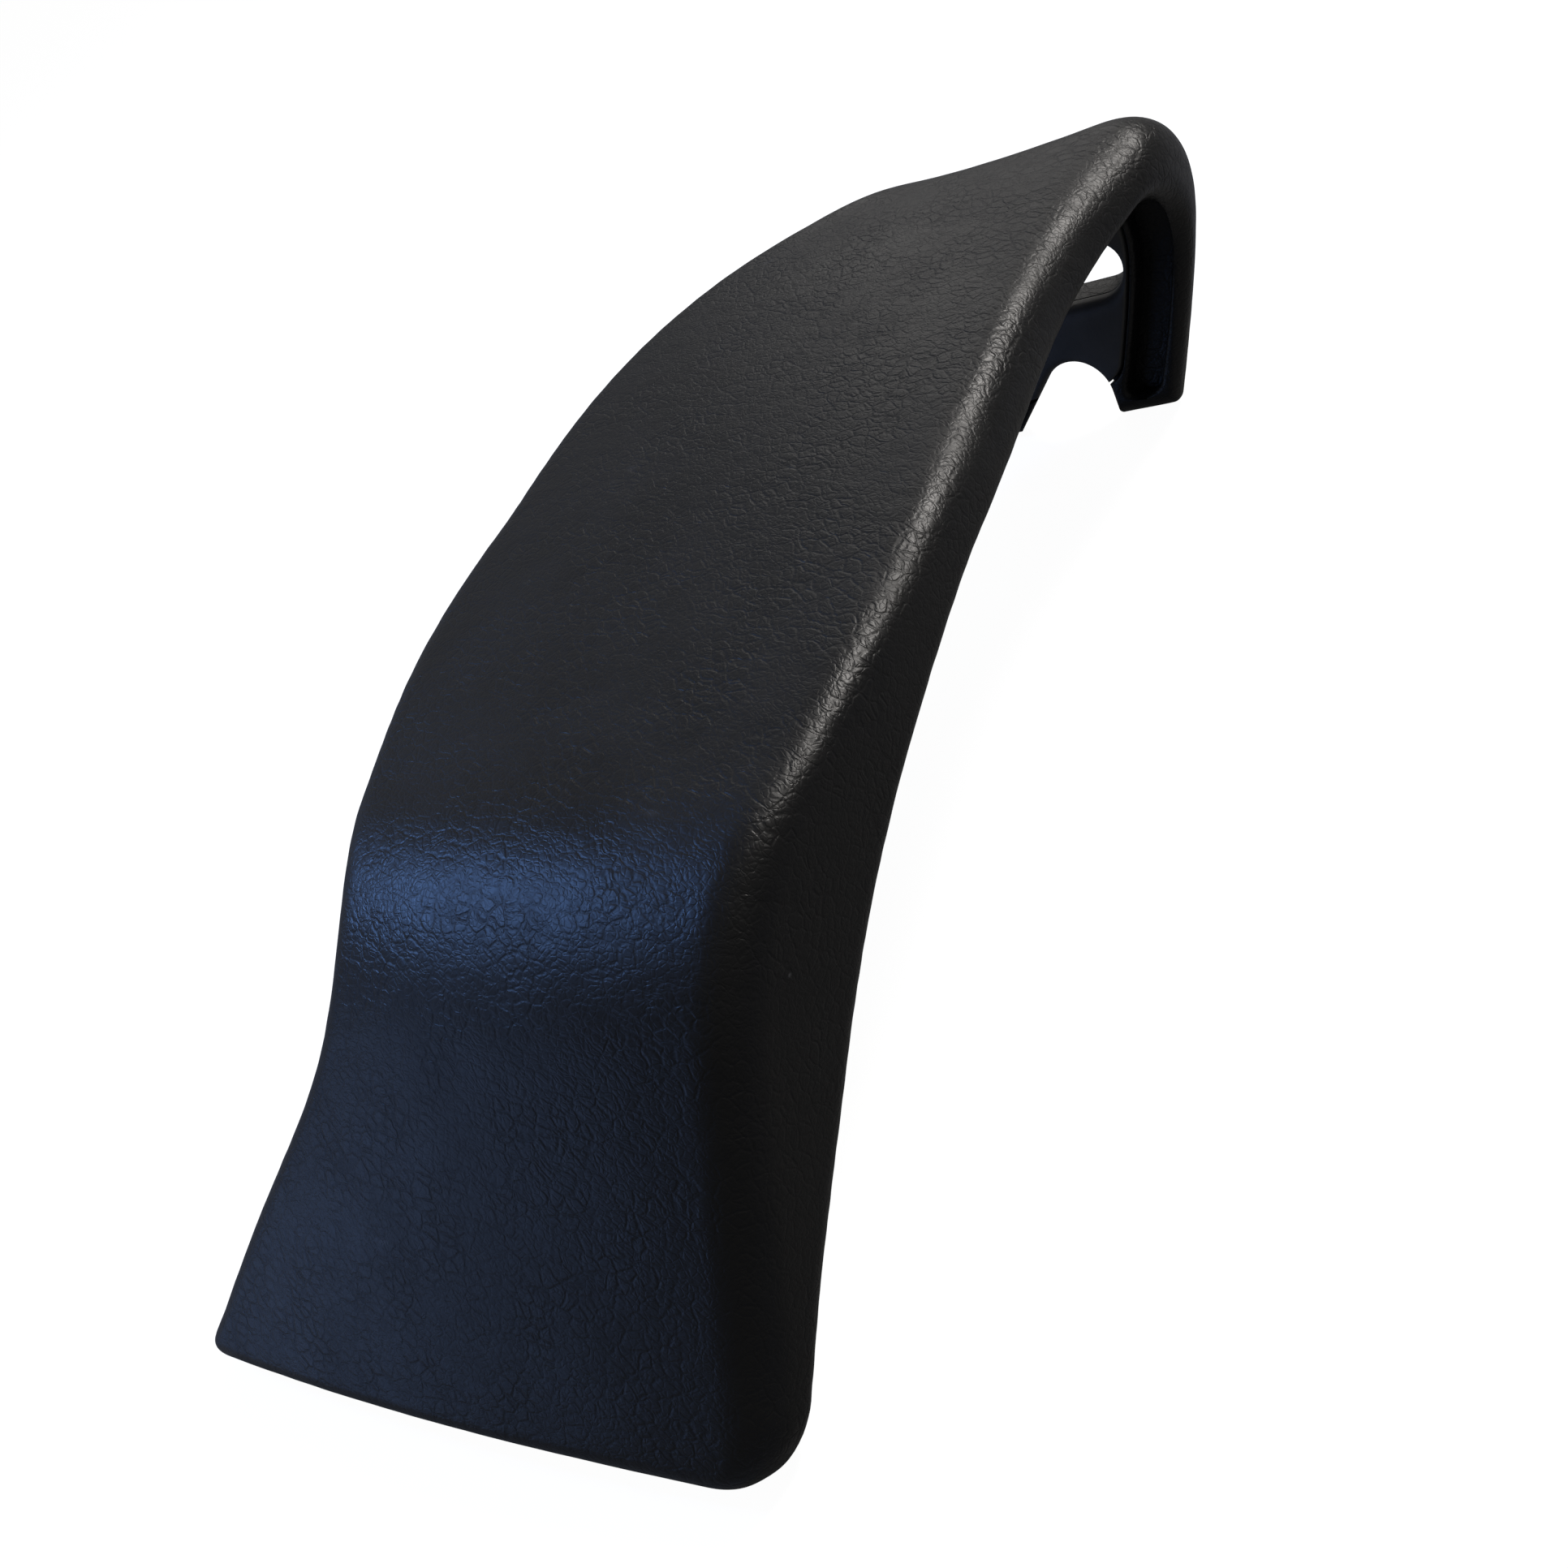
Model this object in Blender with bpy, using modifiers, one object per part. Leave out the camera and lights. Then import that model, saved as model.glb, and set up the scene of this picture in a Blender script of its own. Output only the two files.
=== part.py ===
"""Chair armrest pad: a self-skinned foam pad moulded round a nylon carrier.

The pad runs level from a sloping nose, flared to the left, to a rear leg that
is raked forward and stands on two feet. Metres, +Z up, +Y to the rear, +X to
the right; the origin is the centre of the bounding box, on the ground.
"""
import math

import bmesh
import bpy
import numpy as np
from mathutils import Matrix, Vector

# ---- driving dimensions, side view -------------------------------------
NOSE_LENGTH = 0.0805
NOSE_ANGLE = math.radians(46.7)
FRONT_BEND_RADIUS = 0.0473
RUN_LENGTH = 0.2021
RUN_DROP = 0.0048
REAR_BEND_RADIUS = 0.0156
LEG_LENGTH = 0.0645
LEG_RAKE = math.radians(23.6)
TIP_THICKNESS = 0.0083
RUN_THICKNESS = 0.0145
LEG_THICKNESS = 0.0070
UNDER_ARCH_RADIUS = 0.1636
UNDER_ARCH_START = 0.0417
LEG_ROOT_THICKNESS = 0.0196
LEG_ROOT_RADIUS = 0.0148

# ---- driving dimensions, plan view: (share of the length, x) ------------
LEFT_OUTLINE = [
    (0.000, -0.1303), (0.093, -0.1069), (0.200, -0.0829), (0.293, -0.0887),
    (0.400, -0.1022), (0.533, -0.1071), (0.667, -0.1045), (0.760, -0.0840),
    (0.827, -0.0558), (0.907, -0.0520), (1.000, -0.0620),
]
RIGHT_OUTLINE = [
    (0.000, 0.0028), (0.160, 0.0046), (0.320, 0.0066), (0.533, 0.0036),
    (0.693, 0.0010), (0.760, 0.0034), (0.813, 0.0053), (0.867, 0.0028), (1.000, -0.0119),
]
NOSE_CORNER_LEFT = 0.0060
NOSE_CORNER_RIGHT = 0.0119
FOOT_CORNER_LEFT = 0.0043
FOOT_CORNER_RIGHT = 0.0018

# ---- driving dimensions, section: (share of the length, size) -----------
SHOULDER = [(0.00, 0.0065), (0.45, 0.0065), (0.80, 0.0151), (1.00, 0.0043)]
CROWN = [(0.00, 0.0043), (0.45, 0.0018), (0.72, 0.0018), (0.84, -0.0037), (1.00, 0.0)]
LOWER_EDGE_RADIUS = 0.0051
SMALLEST_RADIUS = 0.0008
SHOULDER_SHARE_OF_DEPTH = 0.62
LOWER_SHARE_OF_DEPTH = 0.30

# ---- walls and gaps ------------------------------------------------------
GAP = 0.0003
PARTING = 0.0005
WELD = 0.000002
OVERCUT = 0.0010
LEG_OVERCUT = 0.0300
SKIN = 0.0016
CARRIER = 0.0025
LIP_RIGHT = 0.0130
LIP_LEFT = 0.0080
LIP_END = 0.0080
WINDOW_CORNER = 0.0050
STRAP_CORNER = 0.0040

# ---- rear leg: slot above, arch between the feet ---------------------------
SLOT_WIDTH = 0.0226
SLOT_HEIGHT = 0.0125
SLOT_RISE = 0.0320
SLOT_CENTRE_X = -0.0248
ARCH_WIDTH = 0.0150
ARCH_HEIGHT = 0.0150
ARCH_CENTRE_X = -0.0320
ARCH_SPLAY = math.radians(46.6)

# ---- rear leg: hollow behind its right rim ----------------------------------
HOLLOW_RIM = 0.0040
HOLLOW_WIDTH = 0.0076
HOLLOW_DEPTH = 0.0042
HOLLOW_CORNER = 0.0030
HOLLOW_PAST_BEND_START = 0.0030
HOLLOW_TO_FOOT = 0.0040

# ---- stiffener and fixings ------------------------------------------------
FIXING_CENTRE_X = -0.0460
STRAP_WIDTH = 0.0240
STRAP_THICKNESS = 0.0015
STRAP_PAST_RIVET = 0.0103
STRAP_TO_REAR_BEND = 0.0200
RIVETS_FROM_FRONT_ROW = [-0.0842, -0.0552, -0.0263, 0.0255, 0.0751]
RIVET_RADIUS = 0.0020
RIVET_HEAD_RADIUS = 0.0036
RIVET_TAIL_RADIUS = 0.00216
RIVET_HEAD = 0.0011
RIVET_HOLE_LENGTH = 0.0150
INSERT_SPACING_X = 0.0440
INSERT_SPACING_Y = 0.0900
TAPER_SHARE = 0.667
INSERT_ROW_PAST_TAPER = 0.0109
INSERT_RADIUS = 0.0040
INSERT_BORE_RADIUS = 0.0025
INSERT_LENGTH = 0.0070
INSERT_GROOVE = 0.0005
INSERT_GROOVE_HALF = 0.0007
INSERT_RECESS = 0.0004
BOSS_WALL = 0.0022
BOSS_CAP = 0.0010
SEAT_PROUD = 0.0012
SEAT_LENGTH = 0.0160
SEAT_MARGIN = 0.0020

# ---- fineness of the facets -----------------------------------------------
NOSE_STATIONS = 4
BEND_STATIONS = 6
RUN_STATIONS = 12
REAR_STATIONS = 10
LEG_STATIONS = 4
END_STEPS = 3
ARC_POINTS = 4
TOP_POINTS = 4
UNDER_POINTS = 2
ROUND_SIDES = 14
SLOT_END_POINTS = 9
ARCH_POINTS = 13
PATH_END_CLEAR = 0.0010
RING_CLEAR = 0.0004
TIP_FIRST_ANGLE = 0.35


def filleted(corners, radii, steps=32):
    """Polyline through the corners, each inner corner rounded by an arc."""
    points = [np.array(corners[0], float)]
    arc_ends = []
    for before, corner, after, radius in zip(corners, corners[1:], corners[2:], radii):
        before, corner, after = (np.array(p, float) for p in (before, corner, after))
        arriving = (corner - before) / np.linalg.norm(corner - before)
        leaving = (after - corner) / np.linalg.norm(after - corner)
        turn = math.atan2(np.cross(arriving, leaving), arriving @ leaving)
        start = corner - arriving * radius * math.tan(abs(turn) / 2)
        centre = start + radius * math.copysign(1, turn) * np.array([-arriving[1], arriving[0]])
        angles = turn * np.linspace(0, 1, steps + 1)
        spoke = start - centre
        arc = np.stack([
            np.cos(angles) * spoke[0] - np.sin(angles) * spoke[1],
            np.sin(angles) * spoke[0] + np.cos(angles) * spoke[1],
        ], axis=1) + centre
        arc_ends += [len(points), len(points) + steps]
        points += list(arc)
    points.append(np.array(corners[-1], float))
    points = np.array(points)
    steps_between = np.linalg.norm(np.diff(points, axis=0), axis=1)
    travelled = np.concatenate([[0], np.cumsum(steps_between)])
    return points, travelled, [travelled[i] for i in arc_ends]


def on_path(path, distance):
    """Points of a filleted path at the given distances along it."""
    points, travelled, _ = path
    return np.stack([np.interp(distance, travelled, points[:, k]) for k in (0, 1)], axis=-1)


def normal_of(path, distance, step=0.0008):
    """Unit normals of a path, turned to the right of its direction."""
    ahead = on_path(path, distance + step) - on_path(path, distance - step)
    ahead /= np.linalg.norm(ahead, axis=-1, keepdims=True)
    return np.stack([ahead[..., 1], -ahead[..., 0]], axis=-1)


def spline(table, where):
    """Natural cubic spline through (share, value) pairs."""
    knots, values = np.array(table).T
    span = np.diff(knots)
    rise = np.diff(values) / span
    count = len(knots)
    system = np.eye(count)
    target = np.zeros(count)
    for i in range(1, count - 1):
        system[i, i - 1:i + 2] = span[i - 1], 2 * (span[i - 1] + span[i]), span[i]
        target[i] = 6 * (rise[i] - rise[i - 1])
    bend = np.linalg.solve(system, target)
    i = np.clip(np.searchsorted(knots, where) - 1, 0, count - 2)
    left = where - knots[i]
    right = knots[i + 1] - where
    return (
        (bend[i] * right**3 + bend[i + 1] * left**3) / (6 * span[i])
        + (values[i] / span[i] - bend[i] * span[i] / 6) * right
        + (values[i + 1] / span[i] - bend[i + 1] * span[i] / 6) * left
    )


def table_line(table, where):
    """Straight-line interpolation of (share, value) pairs."""
    shares, values = np.array(table).T
    return np.interp(where, shares, values)


# ---- the pad's two side-view lines -----------------------------------------
slope = np.array([math.cos(NOSE_ANGLE), math.sin(NOSE_ANGLE)])
rake = np.array([-math.sin(LEG_RAKE), -math.cos(LEG_RAKE)])
front_corner = np.array([0.0, 0.0])
nose_tip = front_corner - NOSE_LENGTH * slope
rear_corner = front_corner + np.array([RUN_LENGTH, -RUN_DROP])
leg_end = rear_corner + LEG_LENGTH * rake
under_level = -RUN_THICKNESS
under_tip = nose_tip + TIP_THICKNESS * np.array([slope[1], -slope[0]])
under_front = np.array([UNDER_ARCH_START, under_level])
under_rear = np.array([rear_corner[0] - LEG_ROOT_THICKNESS, under_level])
under_leg = leg_end + LEG_THICKNESS * np.array([-rake[1], rake[0]]) * [-1, -1]

TOP_LINE = filleted([nose_tip, front_corner, rear_corner, leg_end],
                    [FRONT_BEND_RADIUS, REAR_BEND_RADIUS])
UNDER_LINE = filleted([under_tip, under_front, under_rear, under_leg],
                      [UNDER_ARCH_RADIUS, LEG_ROOT_RADIUS])
TOP_LENGTH = TOP_LINE[1][-1]
UNDER_LENGTH = UNDER_LINE[1][-1]
TIP_ROUND = TIP_THICKNESS / 2


def under_distance(along):
    """Distance along the underside that lies below a distance along the top."""
    top_marks = [0, TOP_LINE[2][1], TOP_LINE[2][2], TOP_LENGTH]
    under_middle = (UNDER_LINE[2][0] + UNDER_LINE[2][1]) / 2
    return np.interp(along, top_marks, [0, under_middle, UNDER_LINE[2][2], UNDER_LENGTH])


def left_x(along):
    return spline(LEFT_OUTLINE, along / TOP_LENGTH)


def right_x(along):
    return spline(RIGHT_OUTLINE, along / TOP_LENGTH)


def from_top(along, depth):
    safe = np.clip(along, PATH_END_CLEAR, TOP_LENGTH - PATH_END_CLEAR)
    return on_path(TOP_LINE, along) + depth * normal_of(TOP_LINE, safe)


def from_under(along, height):
    below = under_distance(along)
    safe = np.clip(below, PATH_END_CLEAR, UNDER_LENGTH - PATH_END_CLEAR)
    return on_path(UNDER_LINE, below) - height * normal_of(UNDER_LINE, safe)


def shared_places():
    """Distances along the top at which every piece has a ring, so that layers keep their gaps."""
    bend_start, bend_end, rear_start, rear_end = TOP_LINE[2]
    return np.unique(np.concatenate([
        NOSE_CORNER_RIGHT * (1 - np.cos(np.linspace(0, math.pi / 2, END_STEPS + 1))),
        np.linspace(NOSE_CORNER_RIGHT, bend_start, NOSE_STATIONS),
        np.linspace(bend_start, bend_end, BEND_STATIONS),
        np.linspace(bend_end, rear_start, RUN_STATIONS),
        np.linspace(rear_start, rear_end, REAR_STATIONS),
        np.linspace(rear_end, TOP_LENGTH, LEG_STATIONS),
    ]).round(7))


PLACES = shared_places()


def clipped_places(start, end):
    """Shared places between two ends, and the ends themselves."""
    inner = PLACES[(PLACES > start + RING_CLEAR) & (PLACES < end - RING_CLEAR)]
    return np.concatenate([[start], inner, [end]])


def places_between(start, end, rounding, first_angle=0.0):
    """Shared places between two ends, with close steps over the rounding of each end."""
    ease = rounding * (1 - np.cos(np.linspace(first_angle, math.pi / 2, END_STEPS + 1)))
    inner = clipped_places(start + rounding, end - rounding)[1:-1]
    return np.concatenate([start + ease, inner, end - ease[::-1]])


def corner_cut(distance_in, radius):
    """How far a rounded plan corner pulls an edge in, near the end of a piece."""
    inside = np.clip(radius - distance_in, 0, radius)
    return radius - np.sqrt(np.maximum(radius**2 - inside**2, 0))


def section(left, right, depth, shoulder, lower, crown):
    """Outline of one station as (x, depth) pairs, from the top left, clockwise seen from the nose."""
    shoulder = min(shoulder, SHOULDER_SHARE_OF_DEPTH * depth)
    lower = min(lower, LOWER_SHARE_OF_DEPTH * depth)
    turn = np.linspace(0, math.pi / 2, ARC_POINTS)
    flat_top = np.linspace(left + shoulder, right - shoulder, TOP_POINTS + 1)[1:-1]
    flat_under = np.linspace(right - lower, left + lower, UNDER_POINTS + 1)[1:-1]
    x = np.concatenate([
        left + shoulder * (1 - np.cos(turn)), flat_top,
        right - shoulder * (1 - np.cos(turn[::-1])), right - lower * (1 - np.cos(turn)),
        flat_under, left + lower * (1 - np.cos(turn[::-1])),
    ])
    z = np.concatenate([
        shoulder * (1 - np.sin(turn)), 0 * flat_top, shoulder * (1 - np.sin(turn[::-1])),
        depth - lower * (1 - np.sin(turn)), 0 * flat_under + depth,
        depth - lower * (1 - np.sin(turn[::-1])),
    ])
    middle = (left + right) / 2
    across = (x - middle) / ((right - left) / 2)
    z = z - crown * (1 - across**2) * np.clip(1 - z / depth, 0, 1)
    return x, z


def padded_rings(inset, under_inset):
    """Rings of the pad's own shape, shrunk by a wall on the top, sides and ends."""
    tip_round = max(TIP_ROUND - inset, SMALLEST_RADIUS)
    start, end = inset, TOP_LENGTH - inset
    places = places_between(start, end, tip_round, TIP_FIRST_ANGLE)
    upper = from_top(places, inset)
    lower = from_under(places, under_inset)
    rings = []
    for along, top, under in zip(places, upper, lower):
        from_end = min(along - start, end - along)
        share = along / TOP_LENGTH
        left = left_x(along) + inset
        left += corner_cut(along - start, NOSE_CORNER_LEFT - inset)
        left += corner_cut(end - along, FOOT_CORNER_LEFT - inset)
        right = right_x(along) - inset
        right -= corner_cut(along - start, NOSE_CORNER_RIGHT - inset)
        right -= corner_cut(end - along, max(FOOT_CORNER_RIGHT - inset, 0))
        depth = np.linalg.norm(under - top)
        shoulder = table_line(SHOULDER, share) - inset
        lower_edge = max(LOWER_EDGE_RADIUS - inset, SMALLEST_RADIUS)
        x, z = section(left, right, depth, shoulder, lower_edge, table_line(CROWN, share))
        into_tip = np.clip((tip_round - from_end) / tip_round, 0, 1)
        z = depth / 2 + (z - depth / 2) * math.sqrt(1 - into_tip**2)
        side = top + np.outer(z / depth, under - top)
        rings.append(np.column_stack([x, side]))
    return rings


def plate_rings(left, right, start, end, low, high, corner=0.0, flat_base=None):
    """Rings of a plate along the underside, between two heights above it or down to a flat base."""
    places = places_between(start, end, corner) if corner else clipped_places(start, end)
    upper = from_under(places, high)
    lower = from_under(places, low)
    if flat_base is not None:
        lower = np.column_stack([upper[:, 0], np.full(len(places), flat_base)])
    rings = []
    for along, top, under in zip(places, upper, lower):
        pull = corner_cut(min(along - start, end - along), corner)
        x = np.linspace(left(along) + pull, right(along) - pull, 3)
        rings.append([(px, *top) for px in x] + [(px, *under) for px in x[::-1]])
    return rings


def centre_of_box(rings):
    """Centre of the rings' box in plan, and its lowest height."""
    points = np.concatenate(rings)
    low, high = points.min(axis=0), points.max(axis=0)
    return np.array([(low[0] + high[0]) / 2, (low[1] + high[1]) / 2, low[2]])


ORIGIN = centre_of_box(padded_rings(0.0, 0.0))


def material(name, colour, roughness, metallic=0.0):
    made = bpy.data.materials.new(name)
    made.use_nodes = True
    shader = made.node_tree.nodes["Principled BSDF"]
    shader.inputs["Base Color"].default_value = (*colour, 1)
    shader.inputs["Roughness"].default_value = roughness
    shader.inputs["Metallic"].default_value = metallic
    return made


def new_object(name, mesh, collection, finish=None):
    made = bpy.data.objects.new(name, mesh)
    collection.objects.link(made)
    if finish:
        mesh.materials.append(finish)
    return made


def loft(name, rings, collection, finish=None):
    """Closed body skinned over rings of equal length, its ends capped."""
    body = bmesh.new()
    rows = [[body.verts.new(Vector(np.array(p) - ORIGIN)) for p in ring] for ring in rings]
    for row, following in zip(rows, rows[1:]):
        for i, vertex in enumerate(row):
            after = (i + 1) % len(row)
            body.faces.new((vertex, row[after], following[after], following[i]))
    body.faces.new(rows[0][::-1])
    body.faces.new(rows[-1])
    bmesh.ops.remove_doubles(body, verts=body.verts, dist=1e-6)
    bmesh.ops.triangulate(body, faces=body.faces, quad_method="FIXED")
    bmesh.ops.recalc_face_normals(body, faces=body.faces)
    mesh = bpy.data.meshes.new(name)
    body.to_mesh(mesh)
    body.free()
    return new_object(name, mesh, collection, finish)


def extruded_outline(name, outline, near, far, collection):
    """Closed outline of (x, z) pairs, extruded along Y between two depths."""
    rings = [[(x, y, z) for x, z in outline] for y in (near, far)]
    return loft(name, rings, collection)


def cylinder(name, radius, length, matrix, collection):
    """Cylinder standing on the matrix's XY plane."""
    body = bmesh.new()
    bmesh.ops.create_cone(
        body, cap_ends=True, segments=ROUND_SIDES, radius1=radius, radius2=radius, depth=length,
        matrix=matrix @ Matrix.Translation((0, 0, length / 2)),
    )
    mesh = bpy.data.meshes.new(name)
    body.to_mesh(mesh)
    body.free()
    return new_object(name, mesh, collection)


def turned(name, profile, matrix, collection, finish):
    """Solid turned about its own Z from (radius, height) pairs that run down the outer side."""
    mesh = bpy.data.meshes.new(name)
    points = [(radius, 0, height) for radius, height in profile]
    edges = [(i, i + 1) for i in range(len(points) - 1)]
    if profile[0][0] > 0:
        edges.append((len(points) - 1, 0))
    mesh.from_pydata(points, edges, [])
    made = new_object(name, mesh, collection, finish)
    made.matrix_world = matrix
    turn = made.modifiers.new("turn", "SCREW")
    turn.steps = ROUND_SIDES
    turn.render_steps = ROUND_SIDES
    turn.use_merge_vertices = True
    turn.merge_threshold = WELD
    return made


def cut(target, cutters, operation="DIFFERENCE"):
    """Boolean the target with all the cutters at once, and leave them as guides."""
    group = bpy.data.collections.new(f"{target.name}_{operation.lower()}")
    guides.children.link(group)
    for cutter in cutters:
        group.objects.link(cutter)
        cutter.hide_render = True
        cutter.display_type = "WIRE"
    step = target.modifiers.new(group.name, "BOOLEAN")
    step.operation = operation
    step.solver = "EXACT"
    step.operand_type = "COLLECTION"
    step.collection = group
    view = bpy.context.view_layer
    view.update()
    result = bpy.data.meshes.new_from_object(target.evaluated_get(view.depsgraph))
    body = bmesh.new()
    body.from_mesh(result)
    bmesh.ops.remove_doubles(body, verts=body.verts, dist=WELD)
    bmesh.ops.triangulate(body, faces=body.faces)
    bmesh.ops.dissolve_degenerate(body, edges=body.edges, dist=WELD)
    bmesh.ops.triangulate(body, faces=body.faces)
    body.to_mesh(result)
    body.free()
    result.name = target.name
    target.modifiers.clear()
    target.data = result


def site(along, x):
    """Matrix on the underside line with Z pointing up into the pad."""
    y, z = from_under(np.array(along), 0.0)
    normal = -normal_of(UNDER_LINE, np.array(under_distance(along)))
    tilt = math.atan2(-normal[0], normal[1])
    place = Vector((x, y, z)) - Vector(ORIGIN)
    return Matrix.Translation(place) @ Matrix.Rotation(tilt, 4, "X")


def rounded_slot(centre_x, centre_z, width, height, grow=0.0):
    """Outline of a slot with round ends, grown by a wall."""
    radius = height / 2 + grow
    reach = width / 2 + grow - radius
    turn = np.linspace(-math.pi / 2, math.pi / 2, SLOT_END_POINTS)
    right = [(centre_x + reach + radius * math.cos(a), centre_z + radius * math.sin(a)) for a in turn]
    left = [(centre_x - reach - radius * math.cos(a), centre_z - radius * math.sin(a)) for a in turn]
    return right + left


def foot_arch(centre_x, base_z, width, height, grow=0.0):
    """Outline of the arch between the feet, splayed on its left and open below the base."""
    radius = width / 2 + grow
    crown_z = base_z + height + grow
    below = base_z - LEG_OVERCUT
    turn = np.linspace(0, math.pi - ARCH_SPLAY, ARCH_POINTS)
    arc = [(centre_x + radius * math.cos(a), crown_z - radius + radius * math.sin(a)) for a in turn]
    last_x, last_z = arc[-1]
    return [(centre_x + radius, below)] + arc + [(last_x - (last_z - below) * math.tan(ARCH_SPLAY), below)]


for leftover in list(bpy.data.objects):
    bpy.data.objects.remove(leftover, do_unlink=True)

pad = bpy.data.collections.new("chair_armrest_pad")
guides = bpy.data.collections.new("cutters")
bpy.context.scene.collection.children.link(pad)
bpy.context.scene.collection.children.link(guides)

skin_finish = material("moulded_skin", (0.016, 0.016, 0.018), 0.45)
foam_finish = material("foam", (0.03, 0.03, 0.032), 0.95)
nylon_finish = material("nylon", (0.055, 0.055, 0.058), 0.5)
steel_finish = material("zinc_steel", (0.55, 0.55, 0.55), 0.4, 1.0)
brass_finish = material("brass", (0.72, 0.53, 0.24), 0.35, 1.0)

# ---- openings through the rear leg ------------------------------------------
leg_near = under_leg[0] - LEG_OVERCUT
leg_far = rear_corner[0] + LEG_OVERCUT
leg_base = min(leg_end[1], under_leg[1])


def slot_cutter(name, grow=0.0):
    outline = rounded_slot(SLOT_CENTRE_X, leg_base + SLOT_RISE, SLOT_WIDTH, SLOT_HEIGHT, grow)
    return extruded_outline(name, outline, leg_near, leg_far, guides)


def arch_cutter(name, grow=0.0):
    outline = foot_arch(ARCH_CENTRE_X, leg_base, ARCH_WIDTH, ARCH_HEIGHT, grow)
    return extruded_outline(name, outline, leg_near, leg_far, guides)


def window_left(clearance):
    return lambda along: left_x(along) + LIP_LEFT + clearance


def window_right(clearance):
    return lambda along: right_x(along) - LIP_RIGHT - clearance


leg_slot = slot_cutter("leg_slot")
leg_arch = arch_cutter("leg_arch")


def hollow_left(grow):
    return lambda along: right_x(along) - HOLLOW_RIM - HOLLOW_WIDTH - grow


hollow_start = TOP_LINE[2][2] + HOLLOW_PAST_BEND_START


def solid_rim(name, grow):
    """Block round the hollow, over its rim and down to the foot, where the skin is solid."""
    return loft(name, plate_rings(
        hollow_left(grow), lambda along: right_x(along) + OVERCUT,
        hollow_start - grow, TOP_LENGTH, -OVERCUT, HOLLOW_DEPTH + grow), guides)


# ---- outer skin: one shell, rolled under at its edge, lining slot, arch and hollow ----
cavity = loft("skin_cavity", padded_rings(SKIN, CARRIER), guides)
cut(cavity, [slot_cutter("slot_lining", SKIN), arch_cutter("arch_lining", SKIN),
             solid_rim("rim_lining", SKIN)])
leg_hollow = loft("leg_hollow", plate_rings(
    hollow_left(0), lambda along: right_x(along) - HOLLOW_RIM,
    hollow_start, TOP_LENGTH - HOLLOW_TO_FOOT, -OVERCUT, HOLLOW_DEPTH, HOLLOW_CORNER), guides)
window = loft("skin_window", plate_rings(
    window_left(0), window_right(0), LIP_END, TOP_LENGTH - LIP_END,
    -OVERCUT, CARRIER + GAP, WINDOW_CORNER), guides)
outer_skin = loft("outer_skin", padded_rings(0.0, 0.0), pad, skin_finish)
cut(outer_skin, [cavity, window, leg_slot, leg_arch, leg_hollow])

# ---- where the fixings are ------------------------------------------------------
def along_at(y):
    """Distance along the top whose underside point has this y, on the run."""
    places = np.linspace(TOP_LINE[2][0], TOP_LINE[2][2], 400)
    return float(np.interp(y, from_under(places, 0.0)[:, 0], places))


rear_row_y = on_path(TOP_LINE, TAPER_SHARE * TOP_LENGTH)[0] + INSERT_ROW_PAST_TAPER
insert_rows = {"front": rear_row_y - INSERT_SPACING_Y, "rear": rear_row_y}
insert_sides = {
    "left": FIXING_CENTRE_X - INSERT_SPACING_X / 2,
    "right": FIXING_CENTRE_X + INSERT_SPACING_X / 2,
}
boss_radius = INSERT_RADIUS + GAP + BOSS_WALL
seat_half_width = INSERT_SPACING_X / 2 + boss_radius + SEAT_MARGIN
seat_ends = {
    row: (along_at(y - SEAT_LENGTH / 2), along_at(y + SEAT_LENGTH / 2)) for row, y in insert_rows.items()
}
lowest_under_seat = min(from_under(np.array(ends), 0.0)[:, 1].min() for ends in seat_ends.values())
seat_level = lowest_under_seat - SEAT_PROUD
hole_depth = INSERT_RECESS + INSERT_LENGTH + GAP


def seat_left(along):
    return max(FIXING_CENTRE_X - seat_half_width, window_left(PARTING + SEAT_MARGIN / 2)(along))


def seat_right(along):
    return min(FIXING_CENTRE_X + seat_half_width, window_right(PARTING + SEAT_MARGIN / 2)(along))


def on_seat(row, side, height=0.0):
    """Matrix on the seat plane at one insert, Z up."""
    place = Vector((insert_sides[side], insert_rows[row], seat_level + height))
    return Matrix.Translation(place - Vector(ORIGIN))


# ---- stiffening strap, and the rivets that hold it to the carrier -----------------
front_row_along = along_at(insert_rows["front"])
rivet_places = [front_row_along + distance for distance in RIVETS_FROM_FRONT_ROW]
rivet_sites = [site(place, FIXING_CENTRE_X) for place in rivet_places]
strap_start = rivet_places[0] - STRAP_PAST_RIVET
strap_end = TOP_LINE[2][2] - STRAP_TO_REAR_BEND
strap_base = CARRIER + GAP
strap_top = strap_base + STRAP_THICKNESS


def strap_edge(side, grow=0.0):
    return lambda along: FIXING_CENTRE_X + side * (STRAP_WIDTH / 2 + grow)


spine_strap = loft("spine_strap", plate_rings(
    strap_edge(-1), strap_edge(1), strap_start, strap_end, strap_base, strap_top, STRAP_CORNER),
    pad, steel_finish)

# ---- carrier: nylon plate in the window, with two seats and four bosses ------------
carrier = loft("carrier", plate_rings(
    window_left(PARTING), window_right(PARTING), LIP_END + PARTING, TOP_LENGTH - LIP_END - PARTING,
    0.0, CARRIER, WINDOW_CORNER), pad, nylon_finish)
seats, bores = [], []
for row, (start, end) in seat_ends.items():
    seat_plate = plate_rings(seat_left, seat_right, start, end, 0.0, CARRIER / 2, flat_base=seat_level)
    seats.append(loft(f"seat_{row}", seat_plate, guides))
    for side in insert_sides:
        seats.append(cylinder(
            f"boss_{row}_{side}", boss_radius, hole_depth + BOSS_CAP, on_seat(row, side), guides))
        bores.append(cylinder(
            f"bore_{row}_{side}", INSERT_RADIUS + GAP, hole_depth + OVERCUT,
            on_seat(row, side, -OVERCUT), guides))
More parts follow.
